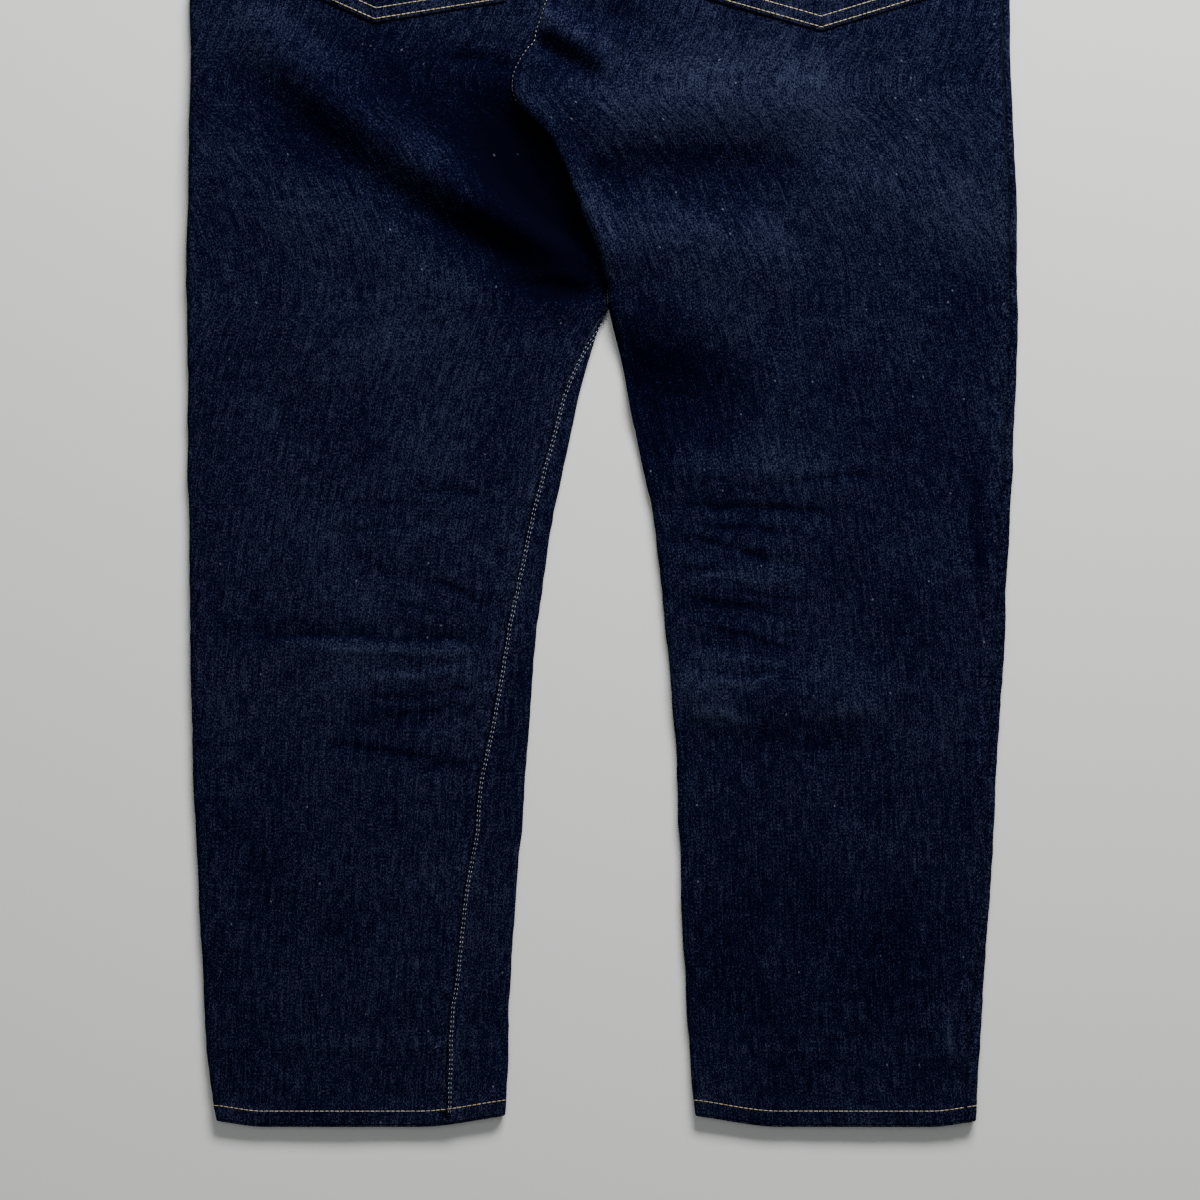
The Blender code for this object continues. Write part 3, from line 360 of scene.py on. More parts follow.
# Creases of the cloth, finer than its folds, in the same columns as the folds.
CREASES = (
    # behind the right knee
    (RIGHT, 38, -76, 166, -82, 1, 2.6, 2.6, -0.7),
    (RIGHT, 67, -90, 136, -98, 1, 2.6, 2.8, -0.95),
    (RIGHT, 54, -97, 124, -117, 1, 2.6, 3, -0.8),
    (RIGHT, 48, -118, 88, -121, 0, 2.4, 2.4, -0.5),
    (RIGHT, 50, -137, 122, -157, 3, 2.8, 2.6, -0.75),
    (RIGHT, 84, -135, 147, -145, 1, 2.6, 2.6, -0.6),
    (RIGHT, 60, -157, 141, -176, -3, 2.8, 3, -0.9),
    (RIGHT, 60, -186, 134, -192, -4, 2.8, 2.8, -0.6),
    (RIGHT, 120, -63, 202, -55, 2, 2.6, 2.6, -0.6),
    (RIGHT, 70, -58, 118, -66, 0, 2.4, 2.6, -0.35),
    (RIGHT, 55, -124, 134, -130, 1, 3, 3, 0.6),
    (RIGHT, 60, -107, 132, -109, 1, 3, 3, 0.5),
    (RIGHT, 55, -181, 122, -184, 0, 3, 3, 0.5),
    (RIGHT, 92, -150, 150, -166, 1, 3, 3, 0.5),
    (RIGHT, 60, -202, 128, -199, 1, 3, 3, 0.55),
    (RIGHT, 52, -218, 112, -232, 2, 5, 6, 0.7),
    (RIGHT, 150, -222, 196, -214, 0, 5, 6, 0.6),
    (RIGHT, 258, -40, 266, -168, 2, 5, 5, -0.9),
    # behind the left knee
    (LEFT, -136, -66, -74, -69, 0, 2.6, 2.6, -0.6),
    (LEFT, -170, -78, -112, -76, 1, 2.6, 2.6, -0.45),
    (LEFT, -184, -94, -122, -91, 0, 2.6, 2.6, -0.6),
    (LEFT, -186, -101, -142, -128, 0, 2.6, 2.6, -0.45),
    (LEFT, -118, -127, -74, -149, 0, 2.8, 2.6, -0.7),
    (LEFT, -150, -142, -92, -160, 1, 2.8, 2.6, -0.5),
    (LEFT, -262, -169, -74, -174, 4, 2.8, 2.8, -0.85),
    (LEFT, -208, -178, -80, -179, 1, 3, 3, 0.6),
    (LEFT, -170, -199, -80, -184, -2, 3, 3, 0.7),
    (LEFT, -166, -211, -86, -202, -2, 2.8, 2.6, -0.65),
    (LEFT, -154, -223, -92, -214, -2, 2.8, 2.6, -0.6),
    (LEFT, -202, -240, -98, -262, 3, 3, 3, -0.7),
    (LEFT, -130, -264, -86, -255, 0, 2.8, 2.6, -0.5),
    (LEFT, -64, -184, -50, -205, 0, 3, 3, 0.6),
    # drawn up by the seat seam and the hip
    (LEFT, -112, 238, -62, 231, 1, 3, 3, -0.7),
    (LEFT, -92, 250, -56, 246, 0, 3, 3, -0.4),
    (LEFT, -70, 66, -4, 72, 1, 3.5, 3, -0.9),
    (LEFT, -56, 84, -14, 84, 0, 3, 3, 0.5),
    (RIGHT, 16, 222, 60, 214, 0, 3.5, 3, -0.5),
    (RIGHT, 6, 128, 60, 134, 0, 4, 4, 0.6),
    # pressed lines above the hems, and the twist beside the right side seam
    (LEFT, -292, -452, -56, -456, 3, 2.6, 2.6, 0.5),
    (RIGHT, 50, -456, 276, -460, 2, 2.6, 2.6, 0.5),
    (RIGHT, 240, -430, 246, -468, 0, 3.5, 3.5, 1.0),
    (RIGHT, 228, -432, 226, -446, 0, 3, 3, 0.7),
)
# Soft creases of the front, which lie against the surface and so go inwards
FRONT_CREASES = (
    (LEFT, -250, 330, -60, 372, 6, 8, 5, 0.8),
    (LEFT, -262, 290, -70, 322, 8, 9, 6, 0.9),
    (LEFT, -232, 238, -60, 292, 6, 8, 5, 0.7),
    (RIGHT, 246, 336, 58, 376, -5, 8, 5, 0.8),
    (RIGHT, 260, 282, 66, 318, -8, 9, 6, 0.9),
    (RIGHT, 226, 244, 52, 286, -6, 8, 5, 0.7),
    (LEFT, -246, -58, -70, -70, 4, 7, 5, 0.8),
    (LEFT, -230, -112, -84, -104, -3, 6, 8, 0.7),
    (LEFT, -252, -176, -66, -160, 4, 7, 6, 0.9),
    (RIGHT, 240, -66, 64, -84, 3, 6, 7, 0.8),
    (RIGHT, 252, -128, 80, -118, -4, 8, 5, 0.7),
    (RIGHT, 236, -190, 60, -172, 4, 6, 6, 0.9),
)
# Soft patches of painted shade and painted light, by their middle and half axes: they darken
# or pale the cloth where it should look darker or lighter than the lamps make it. A share above 0
# is paler and one below 0 is darker; those beside the seat seam paint in the hollow's shadow.
PAINTED_PATCH_COLUMNS = ("panel", "x", "y", "half_x", "half_y", "share")
PAINTED_SHADE_AND_LIGHT = (
    (RIGHT, 110, -110, 100, 50, -0.04),
    (RIGHT, 209, -114, 50, 80, -0.04),
    (RIGHT, 146, -208, 50, 24, -0.12),
    # painted shade: the lower legs darker towards the hems
    (RIGHT, 160, -350, 120, 90, -0.13),
    (RIGHT, 160, -470, 120, 60, -0.06),
    (RIGHT, 174, 33, 90, 80, -0.05),
    (RIGHT, 110, 215, 130, 60, 0.04),
    (RIGHT, -30, 200, 34, 50, -0.20),
    (RIGHT, 36, 20, 46, 70, -0.34),
    (RIGHT, 40, 172, 80, 26, -0.10),
    (LEFT, -155, -110, 80, 70, 0.08),
    (LEFT, -190, -350, 110, 80, -0.05),
    (LEFT, -164, 206, 76, 46, -0.34),
    (LEFT, -120, 114, 46, 24, -0.20),
    # painted shadow in the hollow beside the seat seam, under the lap
    (LEFT, -44, 150, 30, 60, -0.80),
    (LEFT, -66, 160, 30, 46, -0.40),
    (LEFT, -24, 100, 26, 36, -0.50),
    (LEFT, -84, 196, 34, 50, -0.16),
    (LEFT, -40, 82, 50, 14, -0.16),
)


# ------------------------------------------------------------- reading a table
def curve(names, rows, name, y):
    """Read one column of a table at height y, smoothly between its rows."""
    table = np.array(rows, dtype=float)
    ys = table[:, 0]
    values = table[:, names.index(name)]
    slopes = np.gradient(values, ys)
    y = np.clip(y, ys[0], ys[-1])
    i = np.clip(np.searchsorted(ys, y, side="right") - 1, 0, len(ys) - 2)
    step = ys[i + 1] - ys[i]
    u = (y - ys[i]) / step
    return ((2 * u**3 - 3 * u**2 + 1) * values[i] + (u**3 - 2 * u**2 + u) * step * slopes[i]
            + (3 * u**2 - 2 * u**3) * values[i + 1] + (u**3 - u**2) * step * slopes[i + 1])


def seat_seam(name, y):
    """Read one column of the seat seam's table at height y."""
    return curve(SEAT_SEAM, SEAT_SEAM_ROWS, name, y)


def smooth(low, high, value):
    """0 below low, 1 above high, with a soft change between."""
    u = np.clip((value - low) / (high - low), 0.0, 1.0)
    return u * u * (3 - 2 * u)


def runs(spans):
    """Heights of the rows that a table of runs gives."""
    ys = [spans[0][0]]
    for start, end, steps in spans:
        ys += [start + (end - start) * k / steps for k in range(1, steps + 1)]
    return np.array(ys, dtype=float)


def drift(x, y, size, seed):
    """Soft random unevenness from -1 to 1, with features of about that size."""
    table = np.random.default_rng(seed).uniform(-1.0, 1.0, (DRIFT_CELLS, DRIFT_CELLS))
    u, v = np.broadcast_arrays(np.asarray(x) / size, np.asarray(y) / size)
    i, j = np.floor(u).astype(int), np.floor(v).astype(int)
    s, t = u - i, v - j
    s, t = s * s * (3 - 2 * s), t * t * (3 - 2 * t)
    i0, i1, j0, j1 = (k % DRIFT_CELLS for k in (i, i + 1, j, j + 1))
    return ((table[i0, j0] * (1 - s) + table[i1, j0] * s) * (1 - t)
            + (table[i0, j1] * (1 - s) + table[i1, j1] * s) * t)


# ------------------------------------------------------- the shape of the cloth
def fold_height(table, side, x, y):
    """Sum of a table's ridges and valleys on one side of the garment at x, y."""
    total = np.zeros(np.broadcast(x, y).shape)
    for row in table:
        at = dict(zip(FOLD_COLUMNS, row))
        if at["panel"] != side:
            continue
        x0, y0, x1, y1 = at["x0"], at["y0"], at["x1"], at["y1"]
        length = math.hypot(x1 - x0, y1 - y0)
        ux, uy = (x1 - x0) / length, (y1 - y0) / length
        along = np.clip(((x - x0) * ux + (y - y0) * uy) / length, 0.0, 1.0)
        swell = 4 * along * (1 - along)
        off = (y - y0) * ux - (x - x0) * uy - at["bow"] * swell
        off = off / (at["wide0"] + (at["wide1"] - at["wide0"]) * along)
        fade = smooth(0.0, FOLD_FULL, swell - FOLD_POINT * off**2)
        total = total + at["rise"] * fade * np.exp(-off**2)
    return total


def floor_rise(y):
    """How far the cloth is off the surface: only the waist is held up."""
    return BAND_RISE * smooth(BAND_BOTTOM - BAND_SPREAD, BAND_BOTTOM, y)


def seat_edge(y):
    """x of the lapping edge of the right back panel above the crotch."""
    return seat_seam("edge_x", y)


def inner_edge(side, sheet, y):
    """Distance from the middle line to a sheet's inner edge."""
    leg = curve(SILHOUETTE, SILHOUETTE_ROWS, WORDS[side] + "_in", np.minimum(y, CROTCH_Y))
    leg = leg + edge_wander(y, 51 + side) * (1 - smooth(-60.0, CROTCH_Y, y))
    if sheet == FRONT:
        return np.where(y > CROTCH_Y, side * CROTCH_X, leg)
    if side == LEFT:
        seam = seat_edge(y) + seat_seam("tuck", y)
        return np.where(y > CROTCH_Y, -seam, leg)
    return np.where(y > CROTCH_Y, seat_edge(y), leg)


def outer_edge(side, y):
    """Distance from the middle line to both sheets' outer edge."""
    edge = curve(SILHOUETTE, SILHOUETTE_ROWS, WORDS[side] + "_out", y)
    return edge + edge_wander(y, 61 + side)


def edge_wander(y, seed):
    """Small unevenness of a rolled edge, none near the hem and the waistband."""
    ends = smooth(HEM_Y, HEM_Y + 30.0, y) * (1 - smooth(BAND_BOTTOM - 40.0, BAND_BOTTOM, y))
    return EDGE_WANDER * ends * (drift(0.0, y, 27.0, seed) + 0.5 * drift(0.0, y, 8.0, seed))


def crease_line(x, y):
    """Height at which a fine crease is looked up, so that it wanders off its line."""
    return y + CREASE_WANDER * (drift(x, y, 21.0, 5) + 0.45 * drift(x, y, 8.0, 6))


def upper_height(side, x, y):
    """Height of a back panel's middle above the lower sheet's, away from its edges."""
    loft = curve(LOFT, LOFT_ROWS, WORDS[side], y)
    depth = bpy.context.scene.jeans_cloth.crease_depth
    creases = depth * fold_height(CREASES, side, x, crease_line(x, y))
    folds = fold_height(FOLDS, side, x, y) + creases
    slack = SLACK_RISE * (drift(x, y, 46.0, 3) + 0.5 * drift(x, y, 19.0, 4))
    height = loft + (folds + slack) * (1 - smooth(FOLDS_END, FOLDS_END + FOLDS_FADE, y))
    return LAID_MIN + np.logaddexp(0.0, (height - LAID_MIN) * LAID_SHARP) / LAID_SHARP


def lower_height(side, x, y):
    """How far the front's creases rise off the surface that the garment lies on."""
    outer = smooth(*LOW_FADE, outer_edge(side, y) - side * x)
    inner = smooth(*LOW_FADE, side * x - inner_edge(side, FRONT, y))
    return fold_height(FRONT_CREASES, side, x, y) * outer * inner


def tip_rise(x, y):
    """0 at the fork between the legs, 1 one roll away from it and beyond."""
    away = np.hypot(x - CROTCH_X, np.maximum(y - CROTCH_Y, 0.0))
    u = np.clip(away / EDGE_ROLL, 0.0, 1.0)
    return np.where(y >= CROTCH_Y, np.sqrt(1 - (1 - u)**2), 1.0)


def left_seam_height(y):
    """Height of the left back panel's middle where the seat seam joins it."""
    x = seat_edge(y) + seat_seam("tuck", y)
    height = upper_height(LEFT, x, y)
    return EDGE_RISE + (height - EDGE_RISE) * tip_rise(x, y)


def laps(side, sheet):
    """Only the right back panel laps over the other at the seat seam."""
    return side == RIGHT and sheet == BACK


def inner_roll(side, sheet, y):
    """Radius with which the cloth rolls over its inner edge; flat panels have none there."""
    trunk = seat_seam("roll", y) if laps(side, sheet) else NO_ROLL
    return np.where(y > CROTCH_Y, trunk, EDGE_ROLL)


def place(side, sheet, g, y):
    """Point of the laid cloth at girth g along the row y.

    g runs along the cloth from the inner edge to the outer edge, on the upper
    sheet for BACK and on the lower sheet for FRONT.  Below 0 the cloth has rolled
    over the inner edge to the other sheet, and past the outer edge likewise.
    """
    trunk = y > CROTCH_Y
    a_in = inner_edge(side, sheet, y)
    a_out = outer_edge(side, y)
    lapping = laps(side, sheet)
    roll_in = inner_roll(side, sheet, y)
    quarter_in, quarter_out = roll_in * math.pi / 2, EDGE_ROLL * math.pi / 2
    full = (a_out - a_in) - roll_in - EDGE_ROLL + quarter_in + quarter_out
    near_in = g < full / 2
    h = np.where(near_in, g, full - g)
    roll = np.where(near_in, roll_in, EDGE_ROLL)
    phi = np.clip(np.abs(h) / roll, 0.0, math.pi / 2)
    inset = roll * (1 - np.cos(phi)) + np.maximum(np.abs(h) - roll * math.pi / 2, 0.0)
    x = side * np.where(near_in, a_in + inset, a_out - inset)
    turn = np.sin(phi)
    low = lower_height(side, x, y)
    middle = np.full_like(x, EDGE_RISE)
    if lapping:
        seam = left_seam_height(y)
        low = np.where(trunk & near_in, seam, low)
        swell = LAP_SWELL * np.clip(seat_seam("tuck", y) / LAP_TUCK, 0.0, 1.0)
        middle = np.where(trunk & near_in, seam + swell, middle)
    high = upper_height(side, x, y)
    on_top = (h >= 0) == (sheet == BACK)
    if not lapping:
        tip = tip_rise(x, y)
        high = np.where(trunk & near_in, EDGE_RISE + (high - EDGE_RISE) * tip, high)
        low = np.where(trunk & near_in, low * tip + EDGE_RISE * (1 - tip), low)
    z = np.where(on_top, middle + (high - middle) * turn, middle - (middle - low) * turn)
    return x, z + WALL / 2 + floor_rise(y)


def full_girth(side, sheet, y):
    """Length of the cloth along a row from the inner edge to the outer edge."""
    bend = (math.pi / 2 - 1) * (inner_roll(side, sheet, y) + EDGE_ROLL)
    return outer_edge(side, y) - inner_edge(side, sheet, y) + bend


def mouth_inset(y):
    """How far the front panel is cut back from the side seam at its pocket mouth."""
    u = (y - (BAND_BOTTOM - MOUTH_SIDE)) / MOUTH_SIDE
    curved = MOUTH_LEDGE + (MOUTH_TOP - MOUTH_LEDGE) * np.sin(np.clip(u, 0.0, 1.0) * math.pi / 2)
    return np.where(u > 0.0, curved, 0.0)


def panel_ends(side, sheet, y):
    """Girth at which a panel starts at its inner seam and ends at its side seam."""
    inseam, outseam = (curve(SEAMS, SEAM_ROWS, WORDS[side] + name, y)
                       for name in ("_inseam", "_outseam"))
    full = full_girth(side, sheet, y)
    trunk = y > CROTCH_Y
    half = SEAM_GAP / 2
    near_tip = TIP_CLEAR * (1 - smooth(0.0, TIP_REACH, np.abs(y - CROTCH_Y)))
    if sheet == FRONT:
        start = np.where(trunk, 0.0, -inseam)
        side_gap = np.where(trunk, half + SIDE_CLEAR, half)
        return start + half + near_tip, full + outseam - side_gap - mouth_inset(y)
    if side == RIGHT:
        start = np.where(trunk, -seat_seam("tuck", y), inseam + near_tip) + half
        return start, full - outseam - half
    start = np.where(trunk, SEAT_CLEAR, inseam + half) + near_tip
    return start, full - outseam - half


def edge_marks(start):
    """Columns from a panel's end, round the silhouette edge and onto the other sheet."""
    quarter = EDGE_ROLL * math.pi / 2
    turn = np.maximum(-quarter, start + CROWD * OVER_COLUMNS)
    marks = [start + (turn - start) * k / OVER_COLUMNS for k in range(OVER_COLUMNS + 1)]
    return marks + [np.maximum(turn + CROWD * k, -quarter + 2 * quarter * k / ROLL_COLUMNS)
                    for k in range(1, ROLL_COLUMNS + 1)]


def girths(side, sheet, y, steps):
    """Girths of a grid: close together where the cloth rolls over, even between."""
    start, end = panel_ends(side, sheet, y)
    full = full_girth(side, sheet, y)
    if side == sheet:       # the right back and the left front start at the rolled edge
        first, last = edge_marks(start), [end]
    else:
        first, last = [start], [full - mark for mark in edge_marks(full - end)]
    span = last[-1] - first[-1]
    middle = [first[-1] + span * k / steps for k in range(1, steps)]
    marks = first + middle + last[::-1]
    return np.stack([mark[:, j] for j, mark in enumerate(marks)], axis=1)


def hem_shift(side, x, y):
    """The hem's edge bows a little: its corners stand above its middle."""
    a = side * x
    width = outer_edge(side, y) - inner_edge(side, BACK, y)
    u = np.clip((a - inner_edge(side, BACK, y)) / width, 0.0, 1.0)
    bow = HEM_IN_CORNER * (1 - smooth(-0.1, 0.3, u)) + HEM_OUT_CORNER * smooth(0.84, 1.05, u)
    return bow * (1 - smooth(HEM_Y, HEM_Y + HEM_SPREAD, y))


def yoke_shift(x, y):
    """The yoke seam rises from the centre back to the side."""
    rise = (YOKE_SIDE - YOKE_CENTRE) * np.abs(x) / YOKE_REACH
    return rise * smooth(YOKE_CENTRE - YOKE_SPREAD, YOKE_CENTRE - SEAM_GAP, y)


def panel_grid(side, sheet, y_rows, steps, shift):
    """Girth and height of every point of a panel, a row of points for each height."""
    columns = OVER_COLUMNS + ROLL_COLUMNS + steps + 1
    y = np.repeat(np.asarray(y_rows, dtype=float)[:, None], columns, axis=1)
    y = y + shift(place(side, sheet, girths(side, sheet, y, steps), y)[0], y)
    return girths(side, sheet, y, steps), y


def hem_height(side, x, y):
    """Height of the cloth above the bowed edge of its hem."""
    return y - HEM_Y - hem_shift(side, x, np.full_like(y, HEM_Y))


def yoke_line(x):
    """Height of the yoke seam."""
    return YOKE_CENTRE + (YOKE_SIDE - YOKE_CENTRE) * np.abs(x) / YOKE_REACH


def ridge(d, width, rise):
    """A sewn edge: a ridge of several layers as wide as its seam allowance."""
    return rise * smooth(-0.6, 1.4, d) * (1 - smooth(width - 2.5, width + 1.5, d))


def pucker(d, s, seed):
    """Little waves that the sewing pulls up along a seam, fading away from it."""
    phase = math.tau * s / PUCKER_PITCH + 2.4 * drift(s, 0.0 * s, 31.0, seed)
    return PUCKER_RISE * np.sin(phase) * np.exp(-np.maximum(d, 0.0) / PUCKER_REACH)


def pressed_open(d, s, seed):
    """Half of a seam pressed open: a low ridge beside the groove, puckered."""
    groove = SEAM_GROOVE * (1 - smooth(0.0, GROOVE_WIDTH, d))
    return ridge(d, OPEN_WIDTH, OPEN_RISE) - groove + pucker(d, s, seed)


def felled(d, s, seed):
    """The lapping half of a felled seam, puckered."""
    return ridge(d, FELL_WIDTH, FELL_RISE) + pucker(d, s, seed)


def relief(side, sheet, kind, g, x, y, up):
    """How far seams and hems stand out of the cloth; up is 1 on the upper sheet."""
    start, end = panel_ends(side, sheet, y)
    d_in, d_out = g - start, end - g
    trunk = smooth(CROTCH_Y - CROTCH_BLEND, CROTCH_Y + CROTCH_BLEND, y)
    total = np.zeros_like(x)
    if sheet == BACK:
        if side == LEFT:
            total -= SEAM_DIP * (1 - smooth(0.0, DIP_WIDTH, d_in))
            total += pucker(d_in, y, 11)
        else:
            total += trunk * felled(d_in, y, 12)
            total += pressed_open(d_out, y, 13)
        seam = y - yoke_line(x)
        if kind == "yoke":
            total += felled(seam, x, 14)
        else:
            total -= SEAM_DIP * (1 - smooth(0.0, DIP_WIDTH, -seam))
    elif side == LEFT:
        total += (1 - trunk) * felled(d_in, y, 15)
    else:
        total += pressed_open(d_out, y, 16)
    hem = hem_height(side, x, y)
    rope = np.sin(math.tau * (g + 0.9 * hem) / ROPE_PITCH + 1.8 * drift(g, y, 23.0, 17))
    total += (HEM_RISE + ROPE_RISE * rope) * (1 - smooth(HEM_DEPTH - 1.5, HEM_DEPTH + 2.5, hem))
    total -= 0.5 * SEAM_DIP * np.exp(-((hem - HEM_ROW) / 0.9)**2)
    return total * up


def skin(side, sheet, kind, g, y):
    """Middle points and outward directions of the finished cloth at girth g, height y."""
    x, z = place(side, sheet, g, y)
    across, along = place(side, sheet, g + FEEL, y), place(side, sheet, g, y + FEEL)
    over = np.stack((across[0] - x, np.zeros_like(x), across[1] - z), axis=-1)
    up = np.stack((along[0] - x, np.full_like(x, FEEL), along[1] - z), axis=-1)
    out = np.cross(over, up) * side * sheet
    out /= np.linalg.norm(out, axis=-1, keepdims=True) + 1e-12
    points = np.stack((x, y, z), axis=-1)
    on_top = smooth(0.0, 0.9, out[..., 2])
    return points + out * relief(side, sheet, kind, g, x, y, on_top)[..., None], out


# --------------------------------------------------------------------- meshes
def shown(name, bm, *mats, mesh=None):
    """An object in the scene for what was built, with its materials."""
    mesh = mesh or bpy.data.meshes.new(name)
    bm.to_mesh(mesh)
    bm.free()
    for mat in mats:
        mesh.materials.append(mat)
    mesh.shade_smooth()
    obj = bpy.data.objects.new(name, mesh)
    bpy.context.scene.collection.objects.link(obj)
    return obj


def float_column(owner, word, width):
    """Every value of one mesh array as rows of numbers."""
    values = np.empty(len(owner) * width)
    owner.foreach_get(word, values)
    return values.reshape(-1, width)


def cloth_mesh(name, points, across, along, wall, mats, marks, ring=False, flip=False,
               even=True, rounded=0.0, node=None):
    """A cloth wall on a grid of middle points, with its weave's own map.

    across and along are the distances over the cloth, in mm, that the weave follows.
    A piece with a step in its outline isn't thickened evenly, or the step grows a spike.
    It stands in place of the solid of its name, unless another node is given.
    """
    rows, cols = points.shape[:2]
    bm = bmesh.new()
    bmesh.ops.create_grid(bm, x_segments=cols - (0 if ring else 1), y_segments=rows - 1,
                          size=1.0)
    cols_made = cols + 1 if ring else cols
    if ring:
        points, across, along = (np.concatenate((part, part[:, :1]), axis=1)
                                 for part in (points, across, along))
        across = across.copy()
        across[:, -1] = across[:, -2] + np.abs(across[:, -2] - across[:, -3])
    mesh = bpy.data.meshes.new(name + "_cloth")
    bm.to_mesh(mesh)
    flat = float_column(mesh.vertices, "co", 3)
    col = np.rint((flat[:, 0] + 1) / 2 * (cols_made - 1)).astype(int)
    row = np.rint((flat[:, 1] + 1) / 2 * (rows - 1)).astype(int)
    mesh.vertices.foreach_set("co", (points[row, col] * MM).ravel())
    layer = mesh.uv_layers.new(name="cloth")
    of_loop = float_column(mesh.loops, "vertex_index", 1)[:, 0].astype(int)
    uv = np.stack((across[row, col], along[row, col]), axis=1)[of_loop] * MM
    layer.data.foreach_set("uv", uv.ravel())
    for word, values in marks.items():
        if ring:
            values = np.concatenate((values, values[:, :1]), axis=1)
        mark = mesh.attributes.new(word, "FLOAT", "POINT")
        mark.data.foreach_set("value", values[row, col].astype(float))
    bm.clear()
    bm.from_mesh(mesh)
    if ring:
        bmesh.ops.remove_doubles(bm, verts=bm.verts, dist=MERGE)
    if flip:
        bmesh.ops.reverse_faces(bm, faces=bm.faces)
    obj = shown(name + "_cloth", bm, *mats, mesh=mesh)
    thicken = obj.modifiers.new("wall", "SOLIDIFY")
    thicken.thickness = wall * MM
    thicken.offset = 0.0
    thicken.use_even_offset = even
    thicken.use_quality_normals = True
    thicken.material_offset = len(mats) - 1
    if rounded:
        soften(obj, rounded)
    return finish(obj, "denim", node or name)


def soften(obj, width):
    """Round a thick piece's cut edges."""
    edge = obj.modifiers.new("soft_edge", "BEVEL")
    edge.width = width * MM
    edge.segments = 2
    edge.limit_method = "ANGLE"
    edge.angle_limit = math.radians(50.0)
    edge.use_clamp_overlap = True


def same_marks(seam, rubbed=0.0, hem=NO_HEM):
    """Marks of a piece with no hem of its own, or with the same ones all over."""
    return {word: np.zeros_like(seam) + value
            for word, value in (("seam", seam), ("hem", hem), ("rubbed", rubbed))}


def cloth_marks(side, sheet, g, y, points):
    """What the weave's material needs to know: nearest seam, hem, and wear with painted light and
    shade.
    """
    start, end = panel_ends(side, sheet, y)
    x = points[..., 0]
    seam = np.clip(np.minimum(g - start, end - g), 0.0, SEAM_REACH)
    hem = np.clip(hem_height(side, x, y), 0.0, NO_HEM)
    rubbed = np.zeros_like(x)
    if sheet == BACK:
        # patches of painted shade and painted light; the darkest are a painted shadow in the seat's
        # hollow
        for row in PAINTED_SHADE_AND_LIGHT:
            at = dict(zip(PAINTED_PATCH_COLUMNS, row))
            if at["panel"] == side:
                away = ((x - at["x"]) / at["half_x"])**2 + ((y - at["y"]) / at["half_y"])**2
                rubbed += at["share"] * np.exp(-away)
        # creases: ridges paler like worn cloth, valleys darker as painted shade; folds: ridges
        # paler as painted highlight, valleys darker as painted shade
        creases = fold_height(CREASES, side, x, crease_line(x, y))
        rubbed += CREASE_WEAR_AND_SHADE * np.clip(creases, -1.0, 1.0)
        rubbed += FOLD_PAINTED_LIGHT * np.clip(fold_height(FOLDS, side, x, y), -1.0, 2.0)
    rubbed += HEM_PALE * np.exp(-hem / HEM_PALE_DEPTH)
    return {"seam": seam, "hem": hem, "rubbed": rubbed}


def finish(obj, slot, *nodes):
    """Put a piece on the garment's one body, in place of its solids."""
    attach(obj, "root")
    if nodes:
        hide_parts(*nodes)
    return obj


# ----------------------------------------------------------------- stitching
def inset(path, distance):
    """A line moved sideways to its left by a distance, its corners kept sharp."""
    path = np.asarray(path, dtype=float)
    ways = np.diff(path, axis=0)
    ways /= np.linalg.norm(ways, axis=1, keepdims=True)
    lefts = np.stack((-ways[:, 1], ways[:, 0]), axis=1)
    moved = [path[0] + lefts[0] * distance]
    for before, after, corner in zip(lefts, lefts[1:], path[1:-1]):
        both = before + after
        moved.append(corner + both * distance / (both @ before))
    moved.append(path[-1] + lefts[-1] * distance)
    return np.array(moved)


def filled(path, step=ROW_STEP):
    """A line with points close together along each of its stretches."""
    path = np.asarray(path, dtype=float)
    parts = []
    for a, b in zip(path, path[1:]):
        count = max(2, int(np.linalg.norm(b - a) / step) + 1)
        parts.append(a + (b - a) * np.linspace(0.0, 1.0, count, endpoint=False)[:, None])
    return np.concatenate(parts + [path[-1:]])


def plump_stitch():
    """One stitch, a small rounded length of thread along Z, made once."""
    found = bpy.data.meshes.get("stitch")
    if found:
        return found
    bm = bmesh.new()
    bmesh.ops.create_uvsphere(bm, u_segments=6, v_segments=4, radius=1.0)
    mesh = bpy.data.meshes.new("stitch")
    bm.to_mesh(mesh)
    bm.free()
    return mesh


def sew(bm, shape, points, outs, wide, pitch=None, share=1.0):
    """One row of stitches along points on the cloth."""
    pitch = pitch or bpy.context.scene.jeans_sewing.stitch_length / MM
    steps = np.linalg.norm(np.diff(points, axis=0), axis=1)
    along = np.concatenate(([0.0], np.cumsum(steps)))
    count = int(along[-1] / pitch)
    if count < 1:
        return
    middles = (np.arange(count) + 0.5) * along[-1] / count
    half = STITCH_HALF * pitch
    base = float_column(shape.vertices, "co", 3)

    def at(where, table):
        return np.stack([np.interp(where, along, table[:, k]) for k in range(3)], axis=1)

    centre, out = at(middles, points), at(middles, outs)
    way = at(middles + half, points) - at(middles - half, points)
    way /= np.linalg.norm(way, axis=1, keepdims=True)
    across = np.cross(out, way)
    across /= np.linalg.norm(across, axis=1, keepdims=True)
    lift = np.cross(way, across)
    for c, a, n, t in zip(centre, across * wide / 2, lift * wide * STITCH_HEIGHT,
                          way * pitch * share / 2):
        shape.vertices.foreach_set("co", ((base @ np.stack((a, n, t)) + c) * MM).ravel())
        bm.from_mesh(shape)
    shape.vertices.foreach_set("co", base.ravel())


